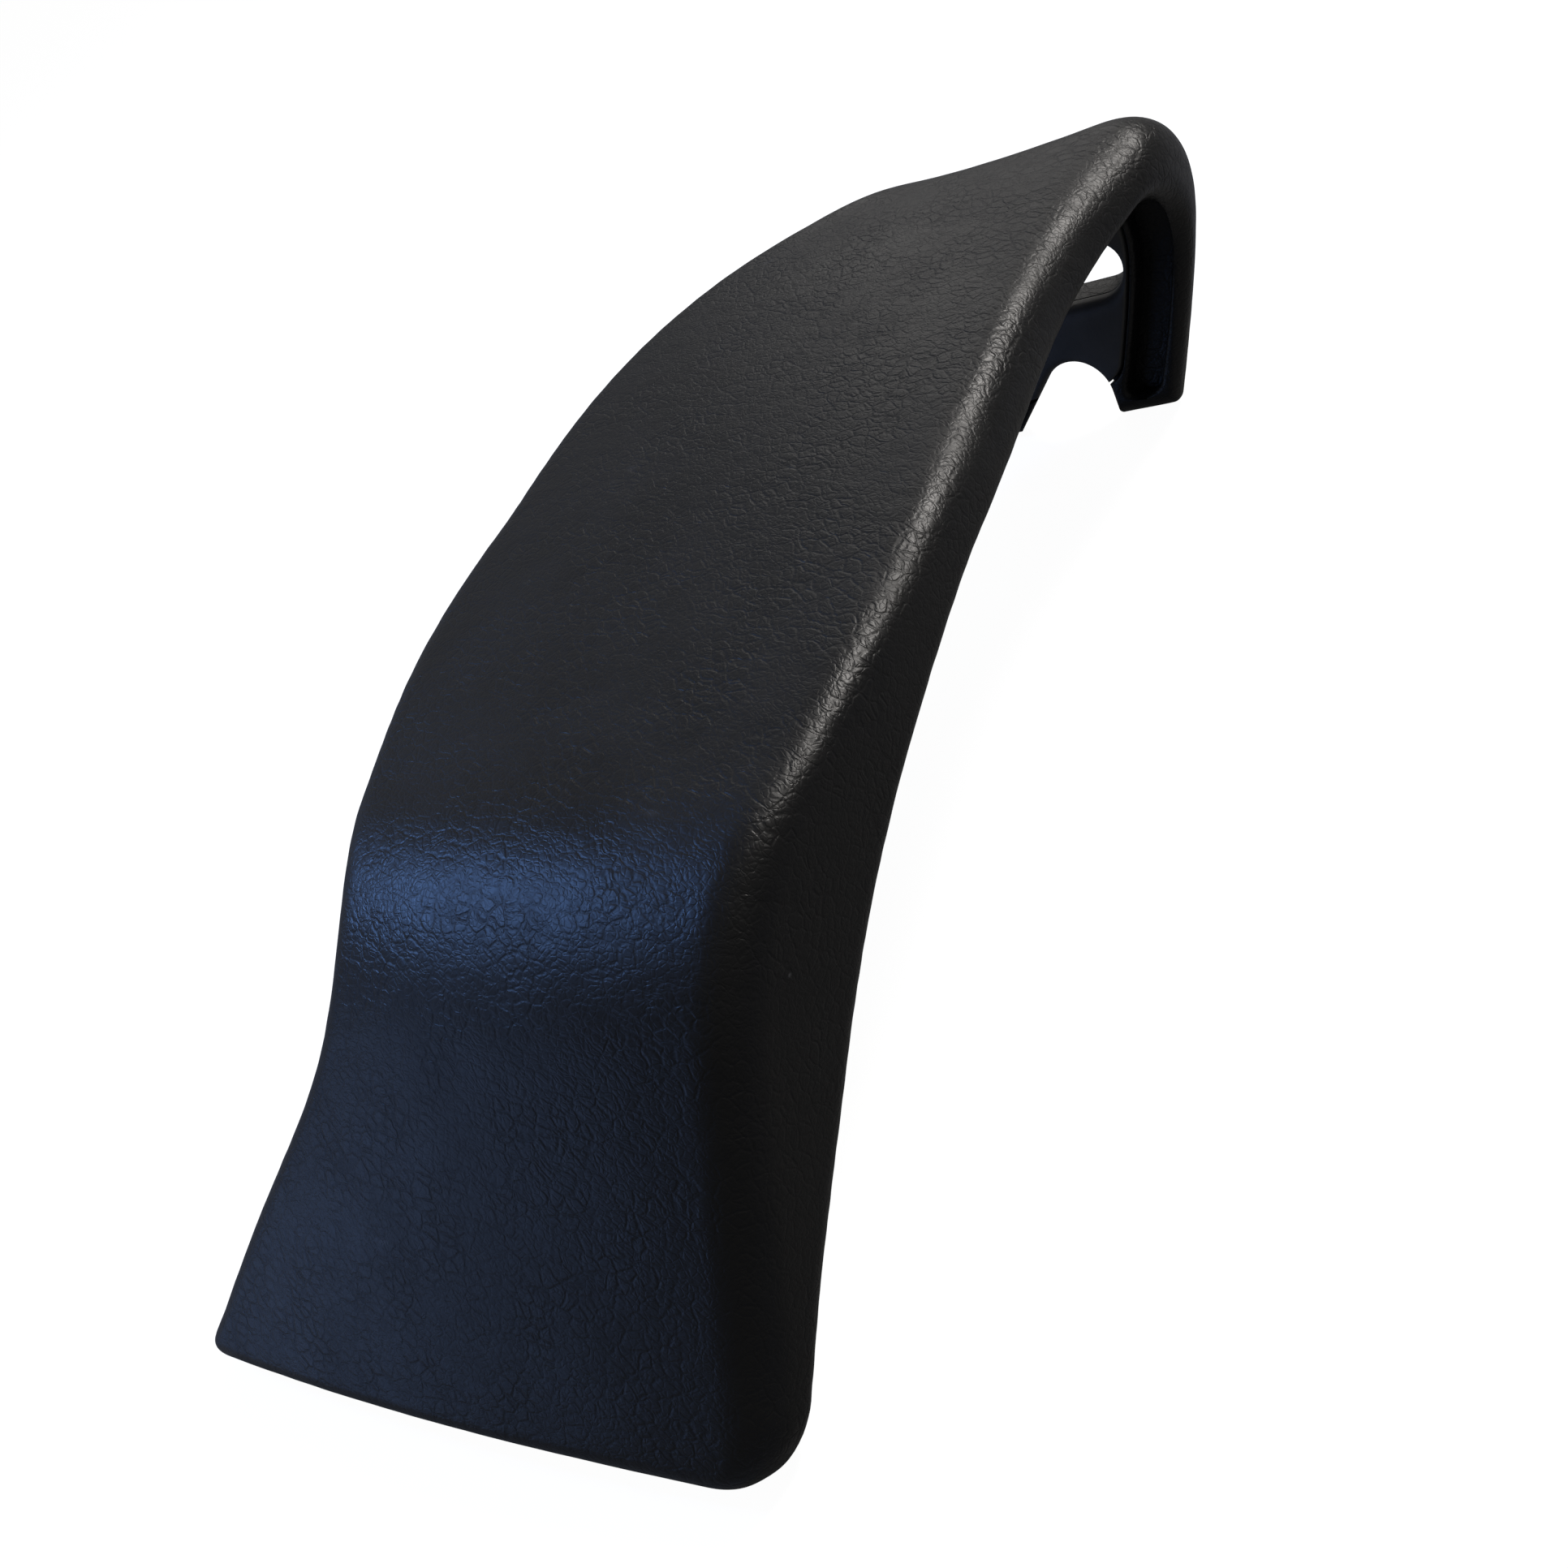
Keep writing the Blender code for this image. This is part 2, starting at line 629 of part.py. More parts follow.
hole_start = Matrix.Translation((0, 0, -RIVET_HOLE_LENGTH / 3))
rivet_holes = [
    cylinder(f"rivet_hole_{number}", RIVET_RADIUS + GAP, RIVET_HOLE_LENGTH, place @ hole_start, guides)
    for number, place in enumerate(rivet_sites, 1)
]
cut(carrier, seats, "UNION")
cut(carrier, [leg_slot, leg_arch, *bores, *rivet_holes])
cut(spine_strap, rivet_holes)

# ---- foam core: fills the skin above the carrier -------------------------------------
foam_core = loft("foam_core", padded_rings(SKIN + GAP, CARRIER + GAP), pad, foam_finish)
channel = loft("strap_channel", plate_rings(
    strap_edge(-1, GAP), strap_edge(1, GAP), strap_start - GAP, strap_end + GAP,
    CARRIER - OVERCUT, strap_top + GAP), guides)
core_cutters = [
    slot_cutter("slot_in_core", SKIN + GAP), arch_cutter("arch_in_core", SKIN + GAP),
    solid_rim("rim_in_core", SKIN + GAP), channel,
]
for number, place in enumerate(rivet_sites, 1):
    height = strap_top + 2 * GAP + RIVET_HEAD + GAP
    core_cutters.append(cylinder(f"rivet_pocket_{number}", RIVET_HEAD_RADIUS + GAP, height, place, guides))
for row in insert_rows:
    for side in insert_sides:
        height = hole_depth + BOSS_CAP + GAP
        core_cutters.append(cylinder(
            f"boss_pocket_{row}_{side}", boss_radius + GAP, height, on_seat(row, side), guides))
cut(foam_core, core_cutters)

# ---- rivets and threaded inserts -------------------------------------------------------
head_top = strap_top + GAP + RIVET_HEAD
rivet_profile = [
    (0, head_top), (RIVET_HEAD_RADIUS, head_top), (RIVET_HEAD_RADIUS, strap_top + GAP),
    (RIVET_RADIUS, strap_top + GAP), (RIVET_RADIUS, -GAP), (RIVET_HEAD_RADIUS, -GAP),
    (RIVET_TAIL_RADIUS, -GAP - RIVET_HEAD), (0, -GAP - RIVET_HEAD),
]
for number, place in enumerate(rivet_sites, 1):
    turned(f"strap_rivet_{number}", rivet_profile, place, pad, steel_finish)

groove_middle = INSERT_LENGTH / 2
insert_profile = [
    (INSERT_BORE_RADIUS, INSERT_LENGTH), (INSERT_RADIUS, INSERT_LENGTH),
    (INSERT_RADIUS, groove_middle + INSERT_GROOVE_HALF), (INSERT_RADIUS - INSERT_GROOVE, groove_middle),
    (INSERT_RADIUS, groove_middle - INSERT_GROOVE_HALF), (INSERT_RADIUS, 0), (INSERT_BORE_RADIUS, 0),
]
for row in insert_rows:
    for side in insert_sides:
        turned(f"insert_{row}_{side}", insert_profile, on_seat(row, side, INSERT_RECESS), pad, brass_finish)
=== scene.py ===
import math

import bmesh
import bpy
import numpy as np
from mathutils import Matrix, Vector


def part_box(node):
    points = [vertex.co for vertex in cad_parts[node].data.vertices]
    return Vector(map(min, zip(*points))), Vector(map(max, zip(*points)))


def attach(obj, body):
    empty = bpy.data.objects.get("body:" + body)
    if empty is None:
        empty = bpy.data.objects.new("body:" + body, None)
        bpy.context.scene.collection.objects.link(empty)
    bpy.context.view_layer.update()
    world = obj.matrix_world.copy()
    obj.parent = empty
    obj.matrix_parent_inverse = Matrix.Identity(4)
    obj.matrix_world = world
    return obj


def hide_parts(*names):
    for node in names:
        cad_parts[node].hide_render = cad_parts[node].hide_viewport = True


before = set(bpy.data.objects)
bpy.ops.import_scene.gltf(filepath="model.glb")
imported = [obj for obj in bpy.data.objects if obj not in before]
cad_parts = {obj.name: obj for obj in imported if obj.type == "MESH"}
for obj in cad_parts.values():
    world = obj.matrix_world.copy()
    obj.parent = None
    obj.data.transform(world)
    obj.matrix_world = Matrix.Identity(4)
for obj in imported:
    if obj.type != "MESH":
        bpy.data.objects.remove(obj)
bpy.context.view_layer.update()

# ---- camera ----------------------------------------------------------------------------------
# A short telephoto, from the front right and above, looking down the pad from its nose.
EYE = (0.22427, -0.17404, 0.20145)
LOOKING = Vector((-0.64564, 0.51271, -0.56593))
UPWARD = Vector((0.04040, 0.76298, 0.64515))
FOCAL_LENGTH = 42.87

view = bpy.data.cameras.new("view")
view.lens = FOCAL_LENGTH
view.sensor_width = 36
view.clip_start = 0.01
camera = bpy.data.objects.new("camera", view)
bpy.context.scene.collection.objects.link(camera)
turned = Matrix((LOOKING.cross(UPWARD), UPWARD, -LOOKING)).transposed()
camera.matrix_world = Matrix.Translation(EYE) @ turned.to_4x4()
bpy.context.scene.camera = camera
bpy.context.scene.view_settings.view_transform = "Standard"

# ---- light and floor -------------------------------------------------------------------------
# A plain studio: dim room light, two warm soft panels behind the pad, and two cool ones at its
# left like windows, whose sheen lies over the front bend. The room and the floor look white to
# the camera and through glass, and dim to everything else.
ROOM_LIGHT = 0.12
PAPER = (0.17, 0.17, 0.17)
PAPER_LIFT = 0.97
GLOSSY_SHARE = 0.06
FLOOR_HALF = 3.0
FLOOR_LEVEL = -0.0002
PANELS = {
    "warm_panel": ((0.30, 0.65, 0.70), 0.30, 0.22, 8.0, (1.0, 0.96, 0.92)),
    "rear_panel": ((-0.42, 0.95, 0.50), 0.50, 0.36, 0.70, (1.0, 0.97, 0.93)),
    "window_panel": ((-0.70, -0.09, 0.70), 0.17, 0.12, 3.8, (0.20, 0.42, 1.0)),
    "front_window": ((-0.85, -0.72, 0.26), 0.70, 0.40, 1.25, (0.26, 0.46, 1.0)),
}


def soft_panel(name, place, width, height, power, colour):
    """A flat light at a place, turned to face the middle of the pad."""
    light = bpy.data.lights.new(name, "AREA")
    light.shape = "RECTANGLE"
    light.size = width
    light.size_y = height
    light.energy = power
    light.color = colour
    made = bpy.data.objects.new(name, light)
    bpy.context.scene.collection.objects.link(made)
    made.location = place
    made.rotation_euler = (-Vector(place)).to_track_quat("-Z", "Y").to_euler()


for panel, (place, width, height, power, colour) in PANELS.items():
    soft_panel(panel, place, width, height, power, colour)


def set_node(tree, kind, sockets=(), **settings):
    """A new node: its settings by name, and its inputs set to a number, a colour or a socket."""
    made = tree.nodes.new(kind)
    for name, value in settings.items():
        setattr(made, name, value)
    for key, value in dict(sockets).items():
        if isinstance(value, bpy.types.NodeSocket):
            tree.links.new(value, made.inputs[key])
        else:
            made.inputs[key].default_value = value
    return made


def maths(tree, operation, first, second=0.0):
    """Output of one Math node."""
    return set_node(tree, "ShaderNodeMath", {0: first, 1: second}, operation=operation).outputs[0]


def shown_white(tree):
    """1 for a ray from the camera or through glass, and a small share of it for a mirrored ray."""
    ray = set_node(tree, "ShaderNodeLightPath").outputs
    direct = maths(tree, "MAXIMUM", ray["Is Camera Ray"], ray["Is Transmission Ray"])
    return set_node(tree, "ShaderNodeMath", {0: ray["Is Glossy Ray"], 1: GLOSSY_SHARE, 2: direct},
                    operation="MULTIPLY_ADD").outputs[0]


room = bpy.data.worlds.new("room")
bpy.context.scene.world = room
room.use_nodes = True
room_tree = room.node_tree
room_tree.nodes.clear()
strength = set_node(
    room_tree, "ShaderNodeMapRange", {"Value": shown_white(room_tree), "To Min": ROOM_LIGHT})
sky = set_node(room_tree, "ShaderNodeBackground", {
    "Color": (1, 1, 1, 1), "Strength": strength.outputs["Result"]})
set_node(room_tree, "ShaderNodeOutputWorld", {"Surface": sky.outputs[0]})

paper = bpy.data.materials.new("paper_floor")
paper.use_nodes = True
paper_tree = paper.node_tree
paper_finish = paper_tree.nodes["Principled BSDF"].inputs
paper_finish["Base Color"].default_value = (*PAPER, 1)
paper_finish["Roughness"].default_value = 0.9
paper_finish["Specular IOR Level"].default_value = 0.0
paper_finish["Emission Color"].default_value = (1, 1, 1, 1)
lift = maths(paper_tree, "MULTIPLY", shown_white(paper_tree), PAPER_LIFT)
paper_tree.links.new(lift, paper_finish["Emission Strength"])

floor_mesh = bpy.data.meshes.new("floor")
floor_mesh.from_pydata(
    [(x * FLOOR_HALF, y * FLOOR_HALF, FLOOR_LEVEL)
     for x, y in ((-1, -1), (1, -1), (1, 1), (-1, 1))],
    [], [(0, 1, 2, 3)])
floor_mesh.materials.append(paper)
floor = bpy.data.objects.new("floor", floor_mesh)
bpy.context.scene.collection.objects.link(floor)

# ---- pad skin ----------------------------------------------------------------------------------
# The leather-grained polyurethane skin that the pad is moulded in: one shell 1.6 mm thick, bent
# down at the nose and at the rear leg, and rolled under at its edge round the carrier.
NOSE_LENGTH = 0.0805
NOSE_ANGLE = math.radians(46.7)
FRONT_BEND_RADIUS = 0.0473
RUN_LENGTH = 0.2021
RUN_DROP = 0.0048
REAR_BEND_RADIUS = 0.0156
LEG_LENGTH = 0.0645
LEG_RAKE = math.radians(23.6)
TIP_THICKNESS = 0.0083
RUN_THICKNESS = 0.0145
LEG_THICKNESS = 0.0070
UNDER_ARCH_RADIUS = 0.1636
UNDER_ARCH_START = 0.0417
LEG_ROOT_THICKNESS = 0.0196
LEG_ROOT_RADIUS = 0.0148
LEFT_OUTLINE = [
    (0.000, -0.1303), (0.093, -0.1069), (0.200, -0.0829), (0.293, -0.0887),
    (0.400, -0.1022), (0.533, -0.1071), (0.667, -0.1045), (0.760, -0.0840),
    (0.827, -0.0558), (0.907, -0.0520), (1.000, -0.0620),
]
RIGHT_OUTLINE = [
    (0.000, 0.0028), (0.160, 0.0046), (0.320, 0.0066), (0.533, 0.0036),
    (0.693, 0.0010), (0.760, 0.0034), (0.813, 0.0053), (0.867, 0.0028), (1.000, -0.0119),
]
NOSE_CORNER_LEFT = 0.0060
NOSE_CORNER_RIGHT = 0.0119
FOOT_CORNER_LEFT = 0.0043
FOOT_CORNER_RIGHT = 0.0018
SHOULDER = [(0.00, 0.0065), (0.45, 0.0065), (0.80, 0.0151), (1.00, 0.0043)]
CROWN = [(0.00, 0.0043), (0.45, 0.0018), (0.72, 0.0018), (0.84, -0.0037), (1.00, 0.0)]
LOWER_EDGE_RADIUS = 0.0051
SMALLEST_RADIUS = 0.0008
SHOULDER_POWER = 2.4
SHOULDER_REACH = 1.17
SHOULDER_LIMIT = 0.68
LOWER_EDGE_LIMIT = 0.30
SKIN_WALL = 0.0016
CARRIER_WALL = 0.0025
GAP = 0.0003
PARTING = 0.0005
LIP_RIGHT = 0.0130
LIP_LEFT = 0.0080
LIP_END = 0.0080
WINDOW_CORNER = 0.0050
EDGE_ROUND = 0.0006
SLOT_WIDTH = 0.0226
SLOT_HEIGHT = 0.0125
SLOT_RISE = 0.0320
SLOT_CENTRE_X = -0.0248
ARCH_WIDTH = 0.0150
ARCH_HEIGHT = 0.0150
ARCH_CENTRE_X = -0.0320
ARCH_SPLAY = math.radians(46.6)
HOLLOW_RIM = 0.0040
HOLLOW_WIDTH = 0.0076
HOLLOW_DEPTH = 0.0042
HOLLOW_CORNER = 0.0030
HOLLOW_PAST_BEND_START = 0.0030
HOLLOW_TO_FOOT = 0.0040
HOLLOW_ROUND = 0.0012
OPENING_ROUND = 0.0016
STATION_STEP = 0.0011
INNER_STEP = 0.003
GRAIN_RELIEF = 0.00003
WRINKLE_LENGTHS = (0.0045, 0.013)
WRINKLE_BEND = 1.6
WRINKLE_BENDS_PER_METRE = 55
OVERLAP = 0.001
SHARP_CORNER = 0.0005
CUT_STEP = 0.0004
CUT_BEYOND = 0.02
BELOW_FOOT = 0.004


def filleted(corners, radii, steps=96):
    """Straight lines through the corners, joined at each inner corner by an arc that touches both.
    Gives the points, the distance travelled at each, and where the arcs start and end."""
    points = [np.array(corners[0], float)]
    arc_ends = []
    for before, corner, after, radius in zip(corners, corners[1:], corners[2:], radii):
        before, corner, after = (np.array(p, float) for p in (before, corner, after))
        arriving = (corner - before) / np.linalg.norm(corner - before)
        leaving = (after - corner) / np.linalg.norm(after - corner)
        turn = math.atan2(arriving[0] * leaving[1] - arriving[1] * leaving[0], arriving @ leaving)
        start = corner - arriving * radius * math.tan(abs(turn) / 2)
        centre = start + radius * math.copysign(1, turn) * np.array([-arriving[1], arriving[0]])
        angles = turn * np.linspace(0, 1, steps + 1)
        spoke = start - centre
        arc = np.stack([
            np.cos(angles) * spoke[0] - np.sin(angles) * spoke[1],
            np.sin(angles) * spoke[0] + np.cos(angles) * spoke[1],
        ], axis=1) + centre
        arc_ends += [len(points), len(points) + steps]
        points += list(arc)
    points.append(np.array(corners[-1], float))
    points = np.array(points)
    travelled = np.concatenate([[0], np.cumsum(np.linalg.norm(np.diff(points, axis=0), axis=1))])
    return points, travelled, travelled[arc_ends]


def on_path(path, distance):
    """Points of a side-view line at distances along it, as (y, z)."""
    points, travelled, _ = path
    return np.stack([np.interp(distance, travelled, points[:, k]) for k in (0, 1)], axis=-1)


def inward(path, distance, step=0.0015):
    """Unit normals of a side-view line: its direction, turned a quarter to the right."""
    safe = np.clip(distance, step, path[1][-1] - step)
    ahead = on_path(path, safe + step) - on_path(path, safe - step)
    ahead /= np.linalg.norm(ahead, axis=-1, keepdims=True)
    return np.stack([ahead[..., 1], -ahead[..., 0]], axis=-1)


def spline(table, where):
    """Natural cubic spline through (share, value) pairs."""
    knots, values = np.array(table).T
    span = np.diff(knots)
    rise = np.diff(values) / span
    count = len(knots)
    system = np.eye(count)
    target = np.zeros(count)
    for i in range(1, count - 1):
        system[i, i - 1:i + 2] = span[i - 1], 2 * (span[i - 1] + span[i]), span[i]
        target[i] = 6 * (rise[i] - rise[i - 1])
    bend = np.linalg.solve(system, target)
    i = np.clip(np.searchsorted(knots, where) - 1, 0, count - 2)
    left, right = where - knots[i], knots[i + 1] - where
    return (
        (bend[i] * right**3 + bend[i + 1] * left**3) / (6 * span[i])
        + (values[i] / span[i] - bend[i] * span[i] / 6) * right
        + (values[i + 1] / span[i] - bend[i + 1] * span[i] / 6) * left
    )


def eased(table, where):
    """Goes from each value of the table to the next along a smooth step."""
    shares, values = np.array(table).T
    i = np.clip(np.searchsorted(shares, where) - 1, 0, len(shares) - 2)
    part = (where - shares[i]) / (shares[i + 1] - shares[i])
    return values[i] + (values[i + 1] - values[i]) * part * part * (3 - 2 * part)


slope = np.array([math.cos(NOSE_ANGLE), math.sin(NOSE_ANGLE)])
rake = np.array([-math.sin(LEG_RAKE), -math.cos(LEG_RAKE)])
nose_tip = -NOSE_LENGTH * slope
rear_corner = np.array([RUN_LENGTH, -RUN_DROP])
leg_end = rear_corner + LEG_LENGTH * rake
under_tip = nose_tip + TIP_THICKNESS * np.array([slope[1], -slope[0]])
under_front = np.array([UNDER_ARCH_START, -RUN_THICKNESS])
under_rear = np.array([rear_corner[0] - LEG_ROOT_THICKNESS, -RUN_THICKNESS])
under_leg = leg_end + LEG_THICKNESS * np.array([rake[1], -rake[0]])
TOP_LINE = filleted([nose_tip, (0, 0), rear_corner, leg_end],
                    [FRONT_BEND_RADIUS, REAR_BEND_RADIUS])
UNDER_LINE = filleted([under_tip, under_front, under_rear, under_leg],
                      [UNDER_ARCH_RADIUS, LEG_ROOT_RADIUS])
TOP_LENGTH = TOP_LINE[1][-1]
UNDER_LENGTH = UNDER_LINE[1][-1]
leg_base = min(leg_end[1], under_leg[1])


def under_distance(along):
    """Distance along the underside that lies below a distance along the top."""
    top_marks = [0, TOP_LINE[2][1], TOP_LINE[2][2], TOP_LENGTH]
    under_middle = (UNDER_LINE[2][0] + UNDER_LINE[2][1]) / 2
    return np.interp(along, top_marks, [0, under_middle, UNDER_LINE[2][2], UNDER_LENGTH])


def left_x(along):
    return spline(LEFT_OUTLINE, along / TOP_LENGTH)


def right_x(along):
    return spline(RIGHT_OUTLINE, along / TOP_LENGTH)


def from_top(along, depth):
    return on_path(TOP_LINE, along) + depth * inward(TOP_LINE, along)


def from_under(along, height):
    below = under_distance(along)
    height = np.asarray(height)[..., None]
    return on_path(UNDER_LINE, below) - height * inward(UNDER_LINE, below)


def corner_cut(distance_in, radius):
    """How far a rounded plan corner pulls an edge in: radius less the arc's own reach."""
    inside = np.clip(radius - distance_in, 0, radius)
    return radius - np.sqrt(np.maximum(radius**2 - inside**2, 0))


def stations(start, end, rounding, step, close_steps):
    """Distances along the top: even steps, and cosine steps over the rounding of each end."""
    ease = rounding * (1 - np.cos(np.linspace(0.10, math.pi / 2, close_steps)))
    inner = np.linspace(start + rounding, end - rounding, round((end - start) / step))[1:-1]
    return np.concatenate([start + ease, inner, end - ease[::-1]])


def pad_surface(inset, under_inset, step, fineness):
    """The pad's own shape, or one shrunk by a wall, as a grid of stations and points round each.
    A section is two superelliptic shoulders, a crowned top, two small lower arcs and a flat
    underside. Its depth runs from the top line to the underside line, and closes at both ends
    along a half ellipse."""
    tip_round = max(TIP_THICKNESS / 2 - inset, SMALLEST_RADIUS)
    start, end = inset, TOP_LENGTH - inset
    along = stations(start, end, tip_round, step, 6 * fineness)
    top, under = from_top(along, inset), from_under(along, np.full(len(along), under_inset))
    share = along / TOP_LENGTH
    left = left_x(along) + inset + corner_cut(along - start, NOSE_CORNER_LEFT - inset)
    left += corner_cut(end - along, FOOT_CORNER_LEFT - inset)
    right = right_x(along) - inset - corner_cut(along - start, NOSE_CORNER_RIGHT - inset)
    right -= corner_cut(end - along, max(FOOT_CORNER_RIGHT - inset, 0))
    depth = np.linalg.norm(under - top, axis=1)
    shoulder = SHOULDER_REACH * (eased(SHOULDER, share) - inset)
    shoulder = np.minimum(shoulder, SHOULDER_LIMIT * depth)
    lower = np.minimum(max(LOWER_EDGE_RADIUS - inset, SMALLEST_RADIUS), LOWER_EDGE_LIMIT * depth)
    left, right, depth, shoulder, lower = (
        column[:, None] for column in (left, right, depth, shoulder, lower))

    turn = np.linspace(0, math.pi / 2, 8 * fineness)
    bow_x = 1 - np.cos(turn) ** (2 / SHOULDER_POWER)
    bow_z = 1 - np.sin(turn) ** (2 / SHOULDER_POWER)
    edge = np.linspace(0, math.pi / 2, 3 * fineness)
    round_x, round_z = 1 - np.cos(edge), 1 - np.sin(edge)
    across_top = np.linspace(0, 1, 24 * fineness)[1:-1]
    across_under = np.linspace(0, 1, 10 * fineness)[1:-1]
    inner_left, inner_right = left + shoulder, right - shoulder
    x = np.hstack([
        left + shoulder * bow_x, inner_left + (inner_right - inner_left) * across_top,
        right - shoulder * bow_x[::-1], right - lower * round_x,
        right - lower + (left - right + 2 * lower) * across_under, left + lower * round_x[::-1],
    ])
    z = np.hstack([
        shoulder * bow_z, 0 * inner_left + 0 * across_top, shoulder * bow_z[::-1],
        depth - lower * round_z, depth + 0 * across_under, depth - lower * round_z[::-1],
    ])
    middle = (left + right) / 2
    across = (x - middle) / ((right - left) / 2)
    z = z - eased(CROWN, share)[:, None] * (1 - across**2) * np.clip(1 - z / depth, 0, 1)
    from_end = np.minimum(along - start, end - along)[:, None]
    into_tip = np.clip((tip_round - from_end) / tip_round, 0, 1)
    z = depth / 2 + (z - depth / 2) * np.sqrt(1 - into_tip**2)
    side = top[:, None] + (z / depth)[..., None] * (under - top)[:, None]
    return np.dstack([x, side])


def grid_normals(points):
    """Outward unit normals of a closed grid: the cross product of its two directions of travel."""
    ahead = np.gradient(points, axis=0)
    around = np.roll(points, -1, axis=1) - np.roll(points, 1, axis=1)
    normal = np.cross(ahead, around)
    return normal / np.maximum(np.linalg.norm(normal, axis=2, keepdims=True), 1e-12)


def shallow_wrinkles(points, seed=11, waves=14):
    """Soft uneven relief from -1 to 1: waves 5 to 13 mm long that run mostly across the pad,
    each bent by a slower wave, and sharpened where they crowd together."""
    draw = np.random.default_rng(seed)
    total = np.zeros(points.shape[:2])
    for _ in range(waves):
        length = draw.uniform(*WRINKLE_LENGTHS)
        heading = draw.normal(0, 0.6)
        direction = np.array([math.sin(heading), math.cos(heading), draw.normal(0, 0.5)])
        slow = draw.normal(0, 1, 3) * WRINKLE_BENDS_PER_METRE
        bend = WRINKLE_BEND * np.sin(points @ slow + draw.uniform(0, 6.3))
        along = points @ direction * (2 * math.pi / length)
        total += np.sin(along + bend + draw.uniform(0, 6.3))
    return np.tanh(total / math.sqrt(waves))


def grid_object(name, points, capped=True):
    """Closed body over a grid of rings: quads between neighbours, and a cap on each end, or the
    last ring joined to the first."""
    count, around, _ = points.shape
    corner = np.arange(count * around).reshape(count, around)
    after = np.roll(corner, -1, axis=1)
    ahead, ahead_after = np.roll(corner, -1, axis=0), np.roll(after, -1, axis=0)
    quads = np.stack([corner, after, ahead_after, ahead], axis=-1)
    faces = quads.reshape(-1, 4).tolist()
    if capped:
        caps = [corner[0, ::-1].tolist(), corner[-1].tolist()]
        faces = quads[:-1].reshape(-1, 4).tolist() + caps
    mesh = bpy.data.meshes.new(name)
    mesh.from_pydata(points.reshape(-1, 3), [], faces)
    shape = bmesh.new()
    shape.from_mesh(mesh)
    bmesh.ops.recalc_face_normals(shape, faces=shape.faces)
    shape.to_mesh(mesh)
    shape.free()
    made = bpy.data.objects.new(name, mesh)
    bpy.context.scene.collection.objects.link(made)
    return made


def carve(target, cutters, operation="DIFFERENCE"):
    """One boolean of the target with all the cutters, which are then removed."""
    group = bpy.data.collections.new(f"{target.name}_cutters")
    bpy.context.scene.collection.children.link(group)
    for cutter in cutters:
        group.objects.link(cutter)
    step = target.modifiers.new("carve", "BOOLEAN")
    step.operation = operation
    step.solver = "EXACT"
    step.operand_type = "COLLECTION"
    step.collection = group
    bpy.context.view_layer.update()
    finished = target.evaluated_get(bpy.context.evaluated_depsgraph_get())
    carved = bpy.data.meshes.new_from_object(finished)
    target.modifiers.clear()
    carved.name = target.name
    target.data = carved
    for cutter in cutters:
        bpy.data.objects.remove(cutter)
    bpy.data.collections.remove(group)


def blend(tree, factor, first, second):
    """Colour that goes from the first to the second as the factor goes from 0 to 1."""
    made = set_node(tree, "ShaderNodeMix", {0: factor}, data_type="RGBA")
    for socket, colour in ((made.inputs[6], first), (made.inputs[7], second)):
        if isinstance(colour, bpy.types.NodeSocket):
            tree.links.new(colour, socket)
        else:
            socket.default_value = (*colour, 1)
    return made.outputs[2]


def ranged(tree, value, low, high, to_low=0.0, to_high=1.0):
    """Smooth step of a value from one range to another."""
    return set_node(tree, "ShaderNodeMapRange", {
        "Value": value, "From Min": low, "From Max": high, "To Min": to_low, "To Max": to_high,
    }, interpolation_type="SMOOTHSTEP").outputs["Result"]


def noise(tree, place, scale, detail=2.0, roughness=0.5, output="Fac"):
    """Output of one Noise Texture node."""
    return set_node(tree, "ShaderNodeTexNoise", {
        "Vector": place, "Scale": scale, "Detail": detail, "Roughness": roughness,
    }).outputs[output]


def vector_maths(tree, operation, first, second):
    """Vector output of one Vector Math node."""
    return set_node(
        tree, "ShaderNodeVectorMath", {0: first, 1: second}, operation=operation).outputs[0]


def cell_edges(tree, place, scale):
    """Distance to the nearest border between the cells of a pattern."""
    return set_node(tree, "ShaderNodeTexVoronoi", {"Vector": place, "Scale": scale},
                    feature="DISTANCE_TO_EDGE").outputs["Distance"]


def new_group(name, inputs, outputs):
    """Empty node group with float inputs and outputs, and its two end nodes."""
    tree = bpy.data.node_groups.new(name, "ShaderNodeTree")
    for label, default in inputs.items():
        made = tree.interface.new_socket(label, in_out="INPUT", socket_type="NodeSocketFloat")
        made.default_value = default
    for label in outputs:
        tree.interface.new_socket(label, in_out="OUTPUT", socket_type="NodeSocketFloat")
    return tree, tree.nodes.new("NodeGroupInput"), tree.nodes.new("NodeGroupOutput")


GRAIN_TURN = math.radians(24)
WARP_SCALE = 260.0
CREASE_WIDTH = 0.17
CREASE_PATCHES = 90.0
FINE_CELLS = 2.3
FINE_CREASE_WIDTH = 0.20
FINE_CREASE_DEPTH = 0.35
PORE_SCALE = 2600.0
PORE_DEPTH = 0.16


